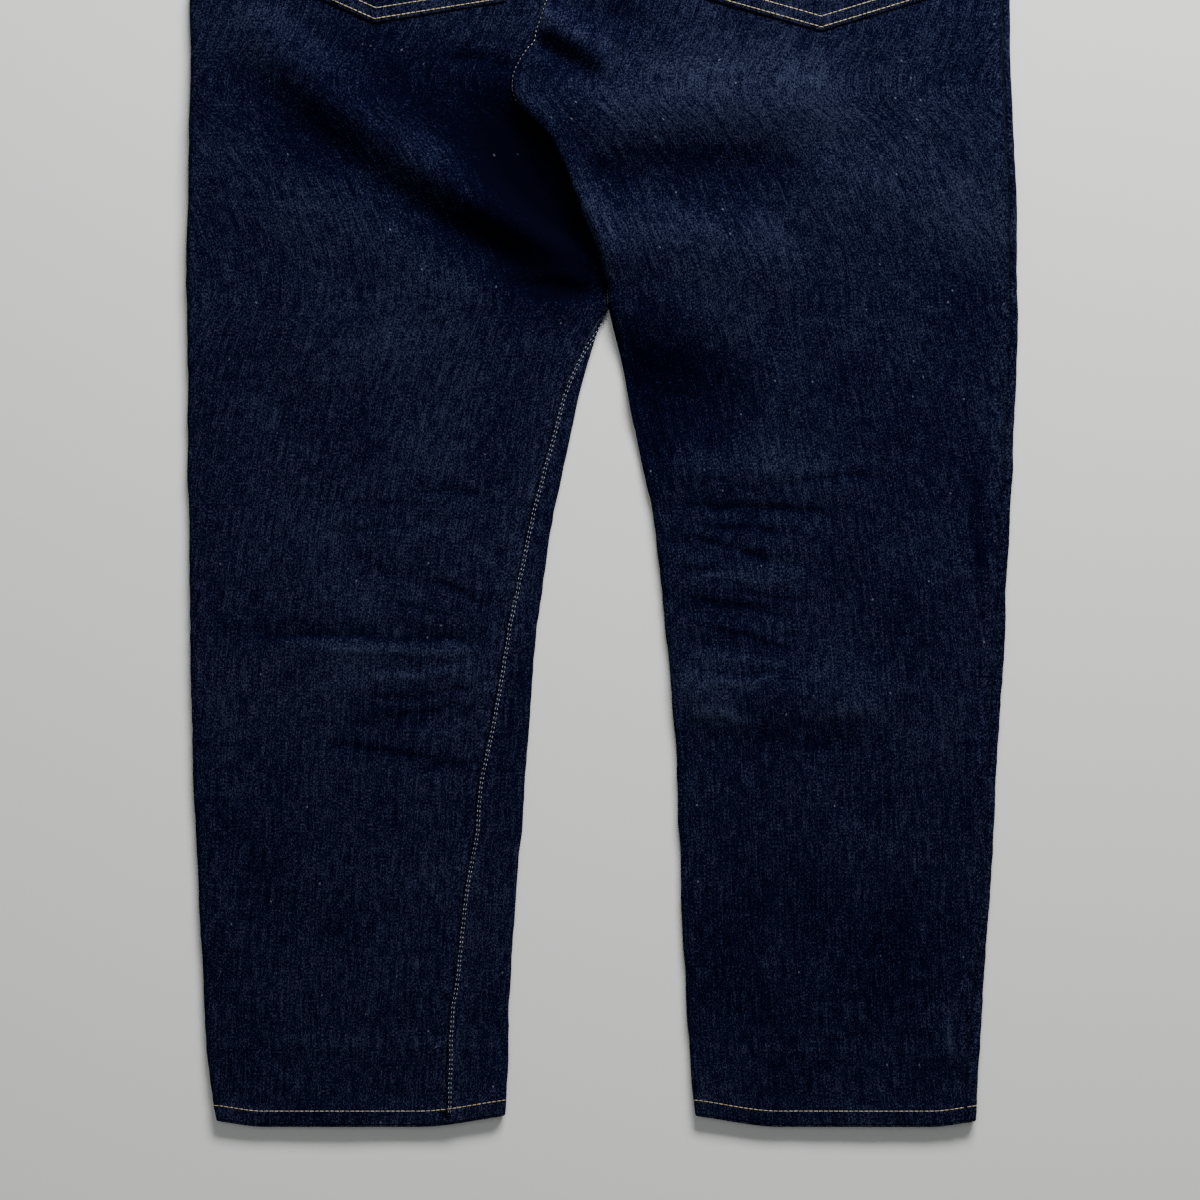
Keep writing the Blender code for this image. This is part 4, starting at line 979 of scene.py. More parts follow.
def thread_piece(name, rows, word="gold", wide=None):
    """All rows of one thread on one piece of cloth, as one object."""
    bm = bmesh.new()
    wide = wide or bpy.context.scene.jeans_sewing.thread_width / MM
    for points, outs, *more in rows:
        sew(bm, plump_stitch(), points + outs * STITCH_LIFT, outs, wide, *more)
    return finish(shown(name, bm, thread_of(word)), "thread")


def cloth_row(side, sheet, g, y, kind="panel"):
    """A row over a panel's outer face, from its girths and heights."""
    g, y = np.broadcast_arrays(np.asarray(g, float), np.asarray(y, float))
    points, outs = skin(side, sheet, kind, g.copy(), y.copy())
    return points + outs * WALL / 2, outs


def outline_rows(side, sheet, path, offsets, keep):
    """Rows beside a path of girths and heights, where keep allows them."""
    lines = [filled(inset(path, off)) for off in offsets]
    return [cloth_row(side, sheet, *line[keep(line)].T) for line in lines]


# ------------------------------------------------------------------ materials
# Patterns of the denim: across and along in mm, detail, roughness, share of the tone.
# The floats are 0.4 x 1.5 mm in the real cloth, and are drawn wider so that they show.
YARNS = (
    (0.85, 1.5, 2.0, 0.8, 3.4),         # warp floats
    (5.0, 8.0, 2.0, 0.6, 0.80),         # mottle
    (60.0, 90.0, 2.0, 0.5, 0.40),       # clouds of uneven dye
    (1.3, 26.0, 1.0, 0.5, 0.80),        # slubs
)
DENIM_TONE = 0.44       # middle of the tone, between the ramp's colours
DEEP, BRIGHT = 0.28, 1.9                # its ends, as shares of the warp and the flecks
SPECKS = (10.0, 13.0)   # one cell of cotton specks across and along, in mm
SPECK_EDGE = (0.075, 0.04)              # where in its cell a speck begins and is full
SPECK_BARE, SPECK_SHARE = 0.62, 0.5     # share of cells without one, and how pale one is
TWILL_SLANT = 28.0      # degrees; the twill lines rise to the right
TWILL_SCALE = 0.3142 / 1.1              # a line every 1.1 mm, where the real one is 0.95
TWILL_SHARE = 0.10
ROPED = (8.0, 13.0)     # roping is full up to the first distance, none from the second
ROPE_SLANT, ROPE_SIZE = -38.0, (0.0010, 0.0040, 1.0)
ROPE_SHARE = (1.1, 0.03)                # how strong it is, and its middle


def linear(code):
    """An sRGB hex colour as linear light."""
    values = [int(code[k:k + 2], 16) / 255 for k in (0, 2, 4)]
    return tuple(v / 12.92 if v <= 0.04045 else ((v + 0.055) / 1.055)**2.4 for v in values)


def feed(tree, node, inputs):
    """Set a node's inputs, each to a value or to the socket it comes from."""
    for key, value in inputs.items():
        if isinstance(value, bpy.types.NodeSocket):
            tree.links.new(value, node.inputs[key])
        else:
            node.inputs[key].default_value = value


def add(tree, kind, inputs=None, **settings):
    """Add a node with its settings and inputs."""
    new = tree.nodes.new(kind)
    for word, value in settings.items():
        setattr(new, word, value)
    feed(tree, new, inputs or {})
    return new


def new_material(name):
    """A material with its node tree and its shader."""
    mat = bpy.data.materials.new(name)
    mat.use_nodes = True
    return mat, mat.node_tree, mat.node_tree.nodes["Principled BSDF"]


def blended(tree, value, stops):
    """A colour that follows a value, from positions and linear colours."""
    ramp = add(tree, "ShaderNodeValToRGB", {0: value})
    band = ramp.color_ramp
    while len(band.elements) < len(stops):
        band.elements.new(0.5)
    for element, (place_at, colour) in zip(band.elements, stops):
        element.position = place_at
        element.color = (*colour, 1.0)
    return ramp.outputs[0]


def bumped(tree, height, distance, strength=1.0):
    """A surface direction that follows a height, in metres."""
    return add(tree, "ShaderNodeBump", {"Height": height, "Distance": distance,
                                        "Strength": strength}).outputs[0]


def denim(name, warp, light, seed, weave=1.0):
    """Raw indigo denim, woven 3/1: dark blue warp floats over a pale weft that shows
    through as salt and pepper, with thick and thin yarns, and pale specks of cotton."""
    mat, tree, shader = new_material(name)
    uv = add(tree, "ShaderNodeUVMap", uv_map="cloth").outputs[0]

    def spots(kind, across, along, **extra):
        """A pattern whose features are across by along mm, slanted like the yarn."""
        size = (1000.0 / across, 1000.0 / along, 1.0)
        at = add(tree, "ShaderNodeMapping", {0: uv, "Location": (seed * 3.7, seed * 1.9, 0.0),
                                            "Scale": size}).outputs[0]
        return add(tree, kind, {"Vector": at, "Scale": 1.0, **extra})

    def joined(first, second, operation="ADD"):
        return add(tree, "ShaderNodeMath", {0: first, 1: second}, operation=operation).outputs[0]

    def scaled(value, share, rest=0.0):
        """rest + share * (value - 0.5)"""
        return add(tree, "ShaderNodeMath", {0: value, 1: share, 2: rest - share / 2},
                   operation="MULTIPLY_ADD").outputs[0]

    def marked(word):
        """What the cloth's mesh says at this place."""
        return add(tree, "ShaderNodeAttribute", attribute_name=word).outputs["Fac"]

    def turned(degrees, scale, **kind):
        """The cloth's map turned and scaled."""
        turn = (0.0, 0.0, math.radians(degrees))
        return add(tree, "ShaderNodeMapping", {0: uv, "Rotation": turn, "Scale": scale},
                   **kind).outputs[0]

    patterns = [spots("ShaderNodeTexNoise", across, along, Detail=detail,
                      Roughness=roughness).outputs[0]
                for across, along, detail, roughness, _ in YARNS]
    twill = add(tree, "ShaderNodeTexWave", {
        "Vector": turned(TWILL_SLANT, (1000.0, 1000.0, 1.0)), "Scale": TWILL_SCALE,
        "Distortion": 1.6, "Detail": 1.0, "Detail Scale": 1.2}).outputs["Fac"]
    shares = [row[-1] for row in YARNS] + [TWILL_SHARE * weave]
    total = scaled(patterns[0], shares[0], DENIM_TONE)
    for value, share in zip(patterns[1:] + [twill], shares[1:]):
        total = joined(total, scaled(value, share))
    # the mesh's mark: wear at edges and hems, with painted shade and painted light
    total = joined(total, marked("rubbed"))

    # roping: slanting pale and dark marks beside a sewn edge
    near = add(tree, "ShaderNodeMapRange", {0: marked("seam"), 1: ROPED[1], 2: ROPED[0],
                                           3: 0.0, 4: 1.0},
               interpolation_type="SMOOTHSTEP").outputs[0]
    rope = add(tree, "ShaderNodeTexNoise", {
        "Vector": turned(ROPE_SLANT, ROPE_SIZE, vector_type="TEXTURE"), "Scale": 1.0,
        "Detail": 1.0}).outputs[0]
    total = joined(total, joined(scaled(rope, *ROPE_SHARE), near, "MULTIPLY"))
    tone = blended(tree, total, (
        (0.05, tuple(v * DEEP for v in warp)), (0.45, warp), (0.80, light),
        (1.0, tuple(v * BRIGHT for v in light))))

    # specks of undyed cotton, half a millimetre or so wide
    specks = spots("ShaderNodeTexVoronoi", *SPECKS)
    speck = add(tree, "ShaderNodeMapRange", {
        0: specks.outputs["Distance"], 1: SPECK_EDGE[0], 2: SPECK_EDGE[1], 3: 0.0,
        4: 1.0}).outputs[0]
    few = joined(specks.outputs["Color"], SPECK_BARE, "GREATER_THAN")
    speck = joined(joined(speck, few, "MULTIPLY"), SPECK_SHARE, "MULTIPLY")
    pale = add(tree, "ShaderNodeMix", {0: speck, 6: tone, 7: (*linear("6f7886"), 1.0)},
               data_type="RGBA")

    grain = joined(scaled(twill, 0.5 * weave), patterns[0])
    grain = joined(grain, scaled(patterns[-1], 0.5))
    feed(tree, shader, {
        "Base Color": pale.outputs[2], "Normal": bumped(tree, grain, 0.00035, 0.6),
        "Roughness": 0.88, "Specular IOR Level": 0.02, "Sheen Weight": 0.008,
        "Sheen Roughness": 0.5, "Sheen Tint": (*linear("a9c0dc"), 1.0)})
    return mat


def two_tone(name, scale, detail, stops, **finish_of):
    """A material of two tones blended by noise; and its tree, shader, place and noise."""
    mat, tree, shader = new_material(name)
    at = add(tree, "ShaderNodeTexCoord").outputs["Object"]
    tone = add(tree, "ShaderNodeTexNoise", {"Vector": at, "Scale": scale,
                                            "Detail": detail}).outputs[0]
    feed(tree, shader, {"Base Color": blended(tree, tone, stops),
                        **{word.replace("_", " "): value for word, value in finish_of.items()}})
    return mat, tree, shader, at, tone


def denim_reverse():
    """The inner face of the same denim, where the undyed weft lies over the warp."""
    name = "denim_reverse"
    if name in bpy.data.materials:
        return bpy.data.materials[name]
    mat, tree, shader = new_material(name)
    uv = add(tree, "ShaderNodeUVMap", uv_map="cloth").outputs[0]
    at = add(tree, "ShaderNodeMapping", {0: uv, "Scale": (800.0, 800.0, 1.0)}).outputs[0]
    fleck = add(tree, "ShaderNodeTexNoise", {"Vector": at, "Scale": 1.0, "Detail": 3.0}).outputs[0]
    tone = blended(tree, fleck, ((0.3, linear("26304a")), (0.7, linear("6d7688"))))
    feed(tree, shader, {"Base Color": tone, "Normal": bumped(tree, fleck, 0.0003),
                        "Roughness": 0.9, "Specular IOR Level": 0.15})
    return mat


def thread(name, colour, shade):
    """Core-spun sewing thread, dyed: a soft shine, and darker between its plies."""
    mat, tree, shader, at, _ = two_tone(name, 520.0, 2.0, ((0.30, shade), (0.62, colour)),
                                        Roughness=0.6, Specular_IOR_Level=0.3)
    ply = add(tree, "ShaderNodeTexWave", {"Vector": at, "Scale": 400.0}, bands_direction="DIAGONAL")
    feed(tree, shader, {"Normal": bumped(tree, ply.outputs["Fac"], 0.0001)})
    return mat


def antique_brass(name):
    """Struck brass, lacquered dark: worn bright on its high rim, dull in its hollows."""
    stops = ((0.35, linear("7a5a30")), (0.65, linear("b3925a")))
    mat, tree, shader, _, stain = two_tone(name, 260.0, 4.0, stops, Metallic=1.0)
    rough = add(tree, "ShaderNodeMapRange", {0: stain, 3: 0.5, 4: 0.3}).outputs[0]
    feed(tree, shader, {"Roughness": rough, "Normal": bumped(tree, stain, 0.00005)})
    return mat


def matt_card(name, colour):
    """Matt card for the floor: only a faint mottle."""
    stops = ((0.3, tuple(v * 0.985 for v in colour)), (0.7, colour))
    return two_tone(name, 2.0, 2.0, stops, Roughness=0.6, Specular_IOR_Level=0.2)[0]


# ------------------------------------------------------------------- settings
def colour_of(label, about, code):
    """A setting for a colour."""
    return FloatVectorProperty(name=label, description=about, subtype="COLOR", size=3,
                               min=0.0, max=1.0, default=linear(code))


def length_of(label, about, low, high, usual):
    """A setting for a length, in metres."""
    return FloatProperty(name=label, description=about, unit="LENGTH",
                         min=low, max=high, default=usual)


class JeansCloth(bpy.types.PropertyGroup):
    """The denim that the garment is cut from."""
    warp: colour_of("Warp", "Indigo of the warp yarns on the outer face", "030421")
    light: colour_of("Light flecks", "Where the pale weft shows between the floats", "212637")
    crease_depth: FloatProperty(
        name="Crease depth", description="Depth of the fine creases, as a share",
        subtype="FACTOR", min=0.0, max=2.0, default=1.0)


class JeansSewing(bpy.types.PropertyGroup):
    """The threads and the stitches."""
    stitch_length: length_of("Stitch length", "From one stitch to the next",
                             0.002, 0.006, 0.0035)
    thread_width: length_of("Thread width", "Width of a topstitching thread as it lies",
                            0.0003, 0.002, 0.00072)
    gold: colour_of("Gold thread", "Thread of the pockets, yokes and waistband", "c6bb92")
    tan: colour_of("Hem thread", "Thread of the hems", "c0b08c")
    cream: colour_of("Seam thread", "Thread of the inseams and the seat seam", "a6abad")


class JeansStage(bpy.types.PropertyGroup):
    """The floor, the light and the view."""
    floor: colour_of("Floor", "Pale floor that the garment lies on", "e9ebe7")
    view_width: length_of("View width", "Width of floor that the camera takes in",
                          0.1, 3.0, 0.84)
    camera_height: length_of("Camera height", "Height of the camera above the floor",
                             0.5, 6.0, 3.0)


# ------------------------------------------------------------------ operators
def outer_cloth(word="denim_outer", seed=1, weave=1.0):
    """The denim's outer face, made once for each lot of pieces."""
    cloth = bpy.context.scene.jeans_cloth
    name = "raw_indigo_" + word
    found = bpy.data.materials.get(name)
    return found or denim(name, tuple(cloth.warp), tuple(cloth.light), seed, weave)


def thread_of(word):
    """One of the sewing threads, made when it is first wanted."""
    name = word + "_core_spun_thread"
    colour = tuple(getattr(bpy.context.scene.jeans_sewing, word))
    return bpy.data.materials.get(name) or thread(name, colour, tuple(v * 0.45 for v in colour))


class JEANS_OT_leg_panels(bpy.types.Operator):
    """Lay out the front and back panels with their folds, creases and seam ridges"""
    bl_idname = "jeans.leg_panels"
    bl_label = "Leg panels"

    def execute(self, context):
        for side, word in WORDS.items():
            self.panel(side, BACK, "back_" + word)
            self.panel(side, FRONT, "front_" + word)
        return {"FINISHED"}

    def panel(self, side, sheet, node):
        if sheet == BACK:
            rows = runs(LEG_ROWS + SEAT_ROWS)
            g, y = panel_grid(side, sheet, rows - rows_trim(rows), BACK_COLUMNS,
                              lambda x, y: hem_shift(side, x, y) + yoke_shift(x, y))
        else:
            mouth_y = BAND_BOTTOM - MOUTH_SIDE
            rows = np.sort(np.append(runs(LEG_ROWS + FRONT_ROWS), (mouth_y, mouth_y + 0.5)))
            g, y = panel_grid(side, sheet, rows - rows_trim(rows), FRONT_COLUMNS,
                              lambda x, y: hem_shift(side, x, y))
        points, _ = skin(side, sheet, "panel", g, y)
        weft = side * (g + (WEFT_FRONT if sheet == FRONT else 0.0))
        cloth = cloth_mesh(node, points, weft, y, WALL, (outer_cloth(), denim_reverse()),
                           cloth_marks(side, sheet, g, y, points), flip=side * sheet < 0,
                           even=sheet == BACK)
        sewn = [thread_piece(f"{node}_{word}_stitches", lines, word,
                             CHAIN_WIDE if word == "cream" and sheet == FRONT else None)
                for word, lines in self.rows(side, sheet).items() if lines]

    def rows(self, side, sheet):
        """The stitch rows on one panel, by their thread."""
        lines = {"cream": [], "tan": [], "gold": []}
        y = np.arange(HEM_Y + 8.0, CROTCH_Y - 5.0, ROW_STEP)
        if sheet == FRONT:
            start = panel_ends(side, sheet, y)[0]
            up = y + hem_shift(side, side * (inner_edge(side, BACK, y) + np.abs(start)), y) * 0.5
            for off in INSEAM_TWIN:
                lines["cream"].append((*cloth_row(side, sheet, start + off, up), *CHAIN))
            lines["gold"] += self.front_rows(side)
        elif side == RIGHT:
            y = np.arange(SEAT_ROW_END, YOKE_CENTRE - 1.0, ROW_STEP)
            start = panel_ends(side, sheet, y)[0]
            lines["cream"].append((*cloth_row(side, sheet, start + SEAT_ROW, y), *CHAIN))
        start, end = panel_ends(side, sheet, np.array([HEM_Y + HEM_ROW]))
        g = np.arange(start[0] + 0.3, end[0] - 0.3, ROW_STEP)
        level = np.full_like(g, HEM_Y)
        for _ in range(3):
            x = place(side, sheet, g, level)[0]
            level = HEM_Y + HEM_ROW + hem_shift(side, x, np.full_like(g, HEM_Y))
        lines["tan"].append(cloth_row(side, sheet, g, level))
        if sheet == BACK:
            y = np.arange(SIDE_ROW_START, YOKE_CENTRE + 24.0, ROW_STEP)
            end = panel_ends(side, sheet, y)[1]
            lines["gold"].append(cloth_row(side, sheet, end - SIDE_ROW, y))
        return lines

    def front_rows(self, side):
        """Rows round the pocket mouth, down the fly and along the front seam."""
        mouth_y, top = BAND_BOTTOM - MOUTH_SIDE, BAND_BOTTOM - 1.0
        y = np.linspace(mouth_y + 0.6, top, 24)
        edge = np.stack((panel_ends(side, FRONT, y)[1], y), axis=1)
        corner = panel_ends(side, FRONT, np.array([mouth_y]))[1][0]
        made = outline_rows(side, FRONT, np.concatenate(([[corner, mouth_y]], edge)),
                            MOUTH_TWIN, lambda line: line[:, 1] < top)
        if side == LEFT:
            wide, high = FLY_CURVE
            low = BAND_BOTTOM - FLY_LENGTH + 6.0
            turn = np.linspace(0.0, math.pi / 2, 14)
            bend = np.stack((np.maximum(wide * np.cos(turn), 1.5),
                             low + high * (1 - np.sin(turn))), axis=1)
            made += outline_rows(side, FRONT, np.concatenate(([[wide, top]], bend)),
                                 FLY_TWIN, lambda line: line[:, 0] > 1.2)
            for off, end in zip(FRONT_TWIN, (top, low - 4.0)):
                y = np.arange(CROTCH_Y + 6.0, end, ROW_STEP)
                made.append(cloth_row(side, FRONT, np.full_like(y, off), y))
        return made


def rows_trim(rows):
    """The last row of a panel stops half a seam gap short."""
    trim = np.zeros_like(rows)
    trim[-1] = SEAM_GAP / 2
    return trim


class JEANS_OT_yokes(bpy.types.Operator):
    """Sew the tapered yokes over the tops of the back panels"""
    bl_idname = "jeans.yokes"
    bl_label = "Yokes"

    def execute(self, context):
        for side, word in WORDS.items():
            _, low = panel_grid(side, BACK, [YOKE_CENTRE], BACK_COLUMNS, yoke_shift)
            low = low + SEAM_GAP / 2
            share = np.linspace(0.0, 1.0, YOKE_ROWS + 1)[:, None]
            y = low + (BAND_BOTTOM - SEAM_GAP / 2 - low) * share
            g = girths(side, BACK, y, BACK_COLUMNS)
            points, _ = skin(side, BACK, "yoke", g, y)
            marks = cloth_marks(side, BACK, g, y, points)
            marks["seam"] = np.minimum(marks["seam"], y - yoke_line(points[..., 0]))
            cloth = cloth_mesh("yoke_" + word, points, side * g, y + WARP_YOKE, WALL,
                               (outer_cloth(), denim_reverse()), marks, flip=side < 0)
            lines = []
            x_end = panel_ends(side, BACK, np.array([YOKE_SIDE]))[1][0]
            for off in YOKE_TWIN:
                g = np.arange(2.0, x_end - 1.5, ROW_STEP)
                level = np.full_like(g, YOKE_CENTRE)
                for _ in range(3):
                    level = yoke_line(place(side, BACK, g, level)[0]) + off
                lines.append(cloth_row(side, BACK, g, level, "yoke"))
            thread_piece(f"yoke_{word}_stitches", lines)
        return {"FINISHED"}


class JEANS_OT_hems(bpy.types.Operator):
    """Roll each leg's end under and up inside the leg"""
    bl_idname = "jeans.hems"
    bl_label = "Hems"

    def execute(self, context):
        deep = WALL / 2 + LAYER_GAP + HEM_WALL / 2
        lip = [(deep / 2 * (1 - math.cos(a)), HEM_LIP - deep / 2 * math.sin(a))
               for a in np.linspace(0.0, math.pi, 7)]
        profile = lip + [(deep, HEM_LIP + (HEM_DEPTH - HEM_LIP) * k / HEM_ROWS)
                         for k in range(1, HEM_ROWS + 1)]
        for side, word in WORDS.items():
            parts = []
            for sheet in (BACK, FRONT):
                columns = BACK_COLUMNS if sheet == BACK else HEM_COLUMNS
                g, _ = panel_grid(side, sheet, [HEM_Y], columns,
                                  lambda x, y: hem_shift(side, x, y))
                g = g[:, 1:-1]
                x = place(side, sheet, g, np.full_like(g, HEM_Y))[0]
                edge = HEM_Y + hem_shift(side, x, np.full_like(g, HEM_Y))
                rows = []
                for depth, rise in profile:
                    points, out = skin(side, sheet, "panel", g, edge + HEM_LIP)
                    rows.append(points - out * depth + (0.0, rise - HEM_LIP, 0.0))
                rows = np.concatenate(rows)
                over = np.repeat(g, len(profile), axis=0)
                if sheet == FRONT:
                    rows, over = rows[:, ::-1], over[:, ::-1]
                parts.append((rows, over))
            points = np.concatenate([part[0] for part in parts], axis=1)
            g = np.concatenate((parts[0][1], parts[0][1].max() * 2 - parts[1][1]), axis=1)
            y = np.repeat(np.array([HEM_Y - rise - depth for depth, rise in profile])[:, None],
                          points.shape[1], axis=1)
            cloth = cloth_mesh("hem_" + word, points, side * g, y, WALL, (outer_cloth(),),
                               same_marks(np.full_like(y, 2.0), 0.05, 0.0), ring=True,
                               flip=side > 0)
        return {"FINISHED"}


class JEANS_OT_back_pockets(bpy.types.Operator):
    """Sew on the two patch pockets, with twin rows and tacked corners"""
    bl_idname = "jeans.back_pockets"
    bl_label = "Back pockets"

    def execute(self, context):
        for row in POCKET_ROWS:
            at = dict(zip(POCKET_COLUMNS, row))
            side = at["side"]
            word = WORDS[side]
            outline = [(at[k + "_x"], at[k + "_y"])
                       for k in ("top_in", "in", "tip", "out", "top_out")]
            u = np.linspace(0.0, 1.0, POCKET_STEPS + 1)[None, :]
            v = u.T

            def spread(axis):
                """One coordinate of the patch, from its pointed lower edge to its top."""
                low = np.interp(u, (0.0, 0.5, 1.0), [at[k + axis] for k in ("in", "tip", "out")])
                start, end = at["top_in" + axis], at["top_out" + axis]
                return low + (start + (end - start) * u - low) * v

            x, y = spread("_x"), spread("_y")
            points, near = self.face(side, outline, x, y)
            cloth = cloth_mesh("pocket_" + word, points, x, y, POCKET_WALL,
                               (outer_cloth("denim_pocket", 7, 2.6),),
                               same_marks(near, PALE_EDGE * np.exp(-near / 1.6) + 0.05),
                               flip=side < 0, rounded=0.45, node="pocket_back_" + word)
            lines = []
            for path, twin in ((outline, POCKET_TWIN), ([outline[-1], outline[0]],
                                                        POCKET_TOP_TWIN)):
                for off in twin:
                    line = filled(inset(path, side * off))
                    line = line if path is outline else line[2:-2]
                    lines.append(self.row(side, outline, line))
            for corner, other in ((outline[0], outline[-1]), (outline[-1], outline[0])):
                way = 1.0 if other[0] > corner[0] else -1.0
                tack = filled([(corner[0] + way * 2.0, corner[1] - 2.0),
                               (corner[0] + way * 3.0, corner[1] - 11.0)], 0.8)
                lines.append((*self.row(side, outline, tack), 1.0, 1.0))
            thread_piece(f"pocket_{word}_stitches", lines)
        return {"FINISHED"}

    def face(self, side, outline, x, y):
        """Middle points of the patch, and how near each is to its sewn edge."""
        near = np.full(np.broadcast(x, y).shape, 60.0)
        for a, b in zip(outline, outline[1:] + outline[:1]):
            ax, ay, bx, by = *a, *b
            length2 = (bx - ax)**2 + (by - ay)**2
            t = np.clip(((x - ax) * (bx - ax) + (y - ay) * (by - ay)) / length2, 0.0, 1.0)
            near = np.minimum(near, np.hypot(x - ax - t * (bx - ax), y - ay - t * (by - ay)))
        lift = WALL / 2 + POCKET_GAP + POCKET_WALL / 2
        z = upper_height(side, x, y) + WALL / 2 + floor_rise(y) + lift
        z = z + ridge(near, PATCH_WIDTH, PATCH_RISE) - 0.30 * (1 - smooth(0.0, 1.6, near))
        for off in POCKET_TWIN:
            z = z - 0.16 * np.exp(-((near - off) / 0.9)**2)
        z = z + pucker(near, x + y, 21) * 1.2 + 0.25 * drift(x, y, 30.0, 22)
        return np.stack((x, y, z), axis=-1), near

    def row(self, side, outline, line):
        points, _ = self.face(side, outline, line[:, 0], line[:, 1])
        outs = np.zeros_like(points)
        outs[:, 2] = 1.0
        return points + outs * POCKET_WALL / 2, outs


class JEANS_OT_pocket_facings(bpy.types.Operator):
    """Set the cloth that shows behind each front pocket mouth"""
    bl_idname = "jeans.pocket_facings"
    bl_label = "Front pocket facings"

    def execute(self, context):
        for side, word in WORDS.items():
            low = BAND_BOTTOM - MOUTH_SIDE + 0.5 + FACING_GAP
            y = np.linspace(low, BAND_BOTTOM - SEAM_GAP / 2, FACING_ROWS + 1)[:, None]
            edge = panel_ends(side, FRONT, y)[1]
            end = edge + mouth_inset(y) - SIDE_CLEAR
            start = edge - FACING_TUCK
            full = full_girth(side, FRONT, y)
            quarter = EDGE_ROLL * math.pi / 2
            marks = [start + (edge + 8.0 - start) * k / 12 for k in range(13)]
            outer = [np.minimum(end - 0.2 * (9 - k), full - quarter * (4 - k) / 4)
                     for k in range(0, 9)]
            gap = outer[0] - marks[-1]
            marks += [marks[-1] + gap * k / 14 for k in range(1, 14)] + outer + [end]
            g = np.concatenate(marks, axis=1)
            y = np.repeat(y, g.shape[1], axis=1)
            x, z = place(side, FRONT, g, y)
            behind = WALL / 2 + LAYER_GAP + FACING_WALL / 2
            z = z + behind * (1 - smooth(edge + 1.6, edge + 7.9, g))
            points = np.stack((x, y, z), axis=-1)
            cloth = cloth_mesh("pocket_facing_" + word, points, side * (g + WEFT_FACING), y,
                               FACING_WALL, (outer_cloth(),), same_marks(np.full_like(x, NO_SEAM)),
                               flip=side > 0)
        return {"FINISHED"}


class JEANS_OT_waistband(bpy.types.Operator):
    """Fold the waistband round the top, its ends lapped at the centre front"""
    bl_idname = "jeans.waistband"
    bl_label = "Waistband"

    def execute(self, context):
        height = WAIST_TOP - 0.01 - BAND_BOTTOM - SEAM_GAP / 2
        face = (BAND_WALL - BAND_SKIN) / 2
        share = np.linspace(0.0, 1.0, BAND_ROWS + 1)[:, None]
        points, outs, along = self.strip(BAND_BOTTOM + SEAM_GAP / 2 + height * share)
        from_edge = np.minimum(share, 1 - share) * height + along * 0.0
        swell = 0.30 * smooth(0.0, 4.0, from_edge) + 0.10 * drift(along, share * height, 24.0, 31)
        points = points + outs * (swell - BAND_SKIN)[..., None]
        y = np.repeat(share * height, points.shape[1], axis=1)
        marks = same_marks(from_edge + 1.0, 0.15 * np.exp(-from_edge / 1.5))
        cloth = cloth_mesh("waistband", points, y, along, BAND_WALL - BAND_SKIN,
                           (outer_cloth("denim_band", 5),), marks, flip=True, rounded=0.7)
        lines = []
        for off in (BAND_ROW, height - BAND_ROW):
            middle, out, _ = self.strip(np.array([[BAND_BOTTOM + SEAM_GAP / 2 + off]]), 2)
            lines.append((middle[0] + out[0] * face, out[0]))
        for end in (0, -1):
            up = np.linspace(3.5, height - 3.5, 24)
            middle, out, _ = self.strip(BAND_BOTTOM + up[:, None])
            pick = 1 if end == 0 else -2
            lines.append((middle[:, pick] + out[:, pick] * face, out[:, pick]))
        thread_piece("waistband_stitches", lines)
        return {"FINISHED"}

    def strip(self, y, finer=1):
        """Middle points, outward directions and length along the folded strip."""
        out = {side: outer_edge(side, y) for side in (LEFT, RIGHT)}
        bend = np.radians(np.linspace(0.0, 180.0, 13))
        half = (BAND_HIGH - BAND_LOW) / 2
        under = BAND_LOW + BAND_WALL + LAYER_GAP
        flat = np.linspace(0.0, 1.0, BAND_STEPS * finer + 1)[None, :]
        left_start = BAND_OVERLAP - (BAND_OVERLAP + out[LEFT] - EDGE_ROLL) * flat
        left_turn = -(out[LEFT] - EDGE_ROLL) - EDGE_ROLL * np.sin(bend)
        back = -(out[LEFT] - EDGE_ROLL) + (out[LEFT] + out[RIGHT] - 2 * EDGE_ROLL) * flat
        right_turn = (out[RIGHT] - EDGE_ROLL) + EDGE_ROLL * np.sin(bend)
        right_end = (out[RIGHT] - EDGE_ROLL) - (out[RIGHT] - EDGE_ROLL + BAND_OVERLAP) * flat
        x = np.concatenate((left_start[:, :-1], left_turn, back[:, 1:-1], right_turn,
                            right_end[:, 1:]), axis=1)
        level = np.ones_like(flat)
        middle = BAND_LOW + half
        clear = BAND_OVERLAP + 5.0
        climb = BAND_LOW + (under - BAND_LOW) * (1 - smooth(clear, clear + BAND_CLIMB, right_end))
        z = np.concatenate((
            np.repeat(level[:, :-1] * BAND_LOW, len(y), axis=0),
            np.repeat(middle - half * np.cos(bend)[None, :], len(y), axis=0),
            np.repeat(level[:, 1:-1] * BAND_HIGH, len(y), axis=0),
            np.repeat(middle + half * np.cos(bend)[None, :], len(y), axis=0),
            climb[:, 1:]), axis=1)
        points = np.stack((x, np.repeat(y, x.shape[1], axis=1), z + BAND_RISE), axis=-1)
        ways = np.gradient(points, axis=1)
        out_way = np.stack((ways[..., 2], np.zeros_like(x), -ways[..., 0]), axis=-1)
        out_way *= -1.0 if out_way[0, len(bend) + 3 * BAND_STEPS // 2, 2] < 0 else 1.0
        out_way /= np.linalg.norm(out_way, axis=-1, keepdims=True) + 1e-12
        steps = np.linalg.norm(np.diff(points, axis=1), axis=-1)
        along = np.concatenate((np.zeros((len(y), 1)), np.cumsum(steps, axis=1)), axis=1)
        return points, out_way, along


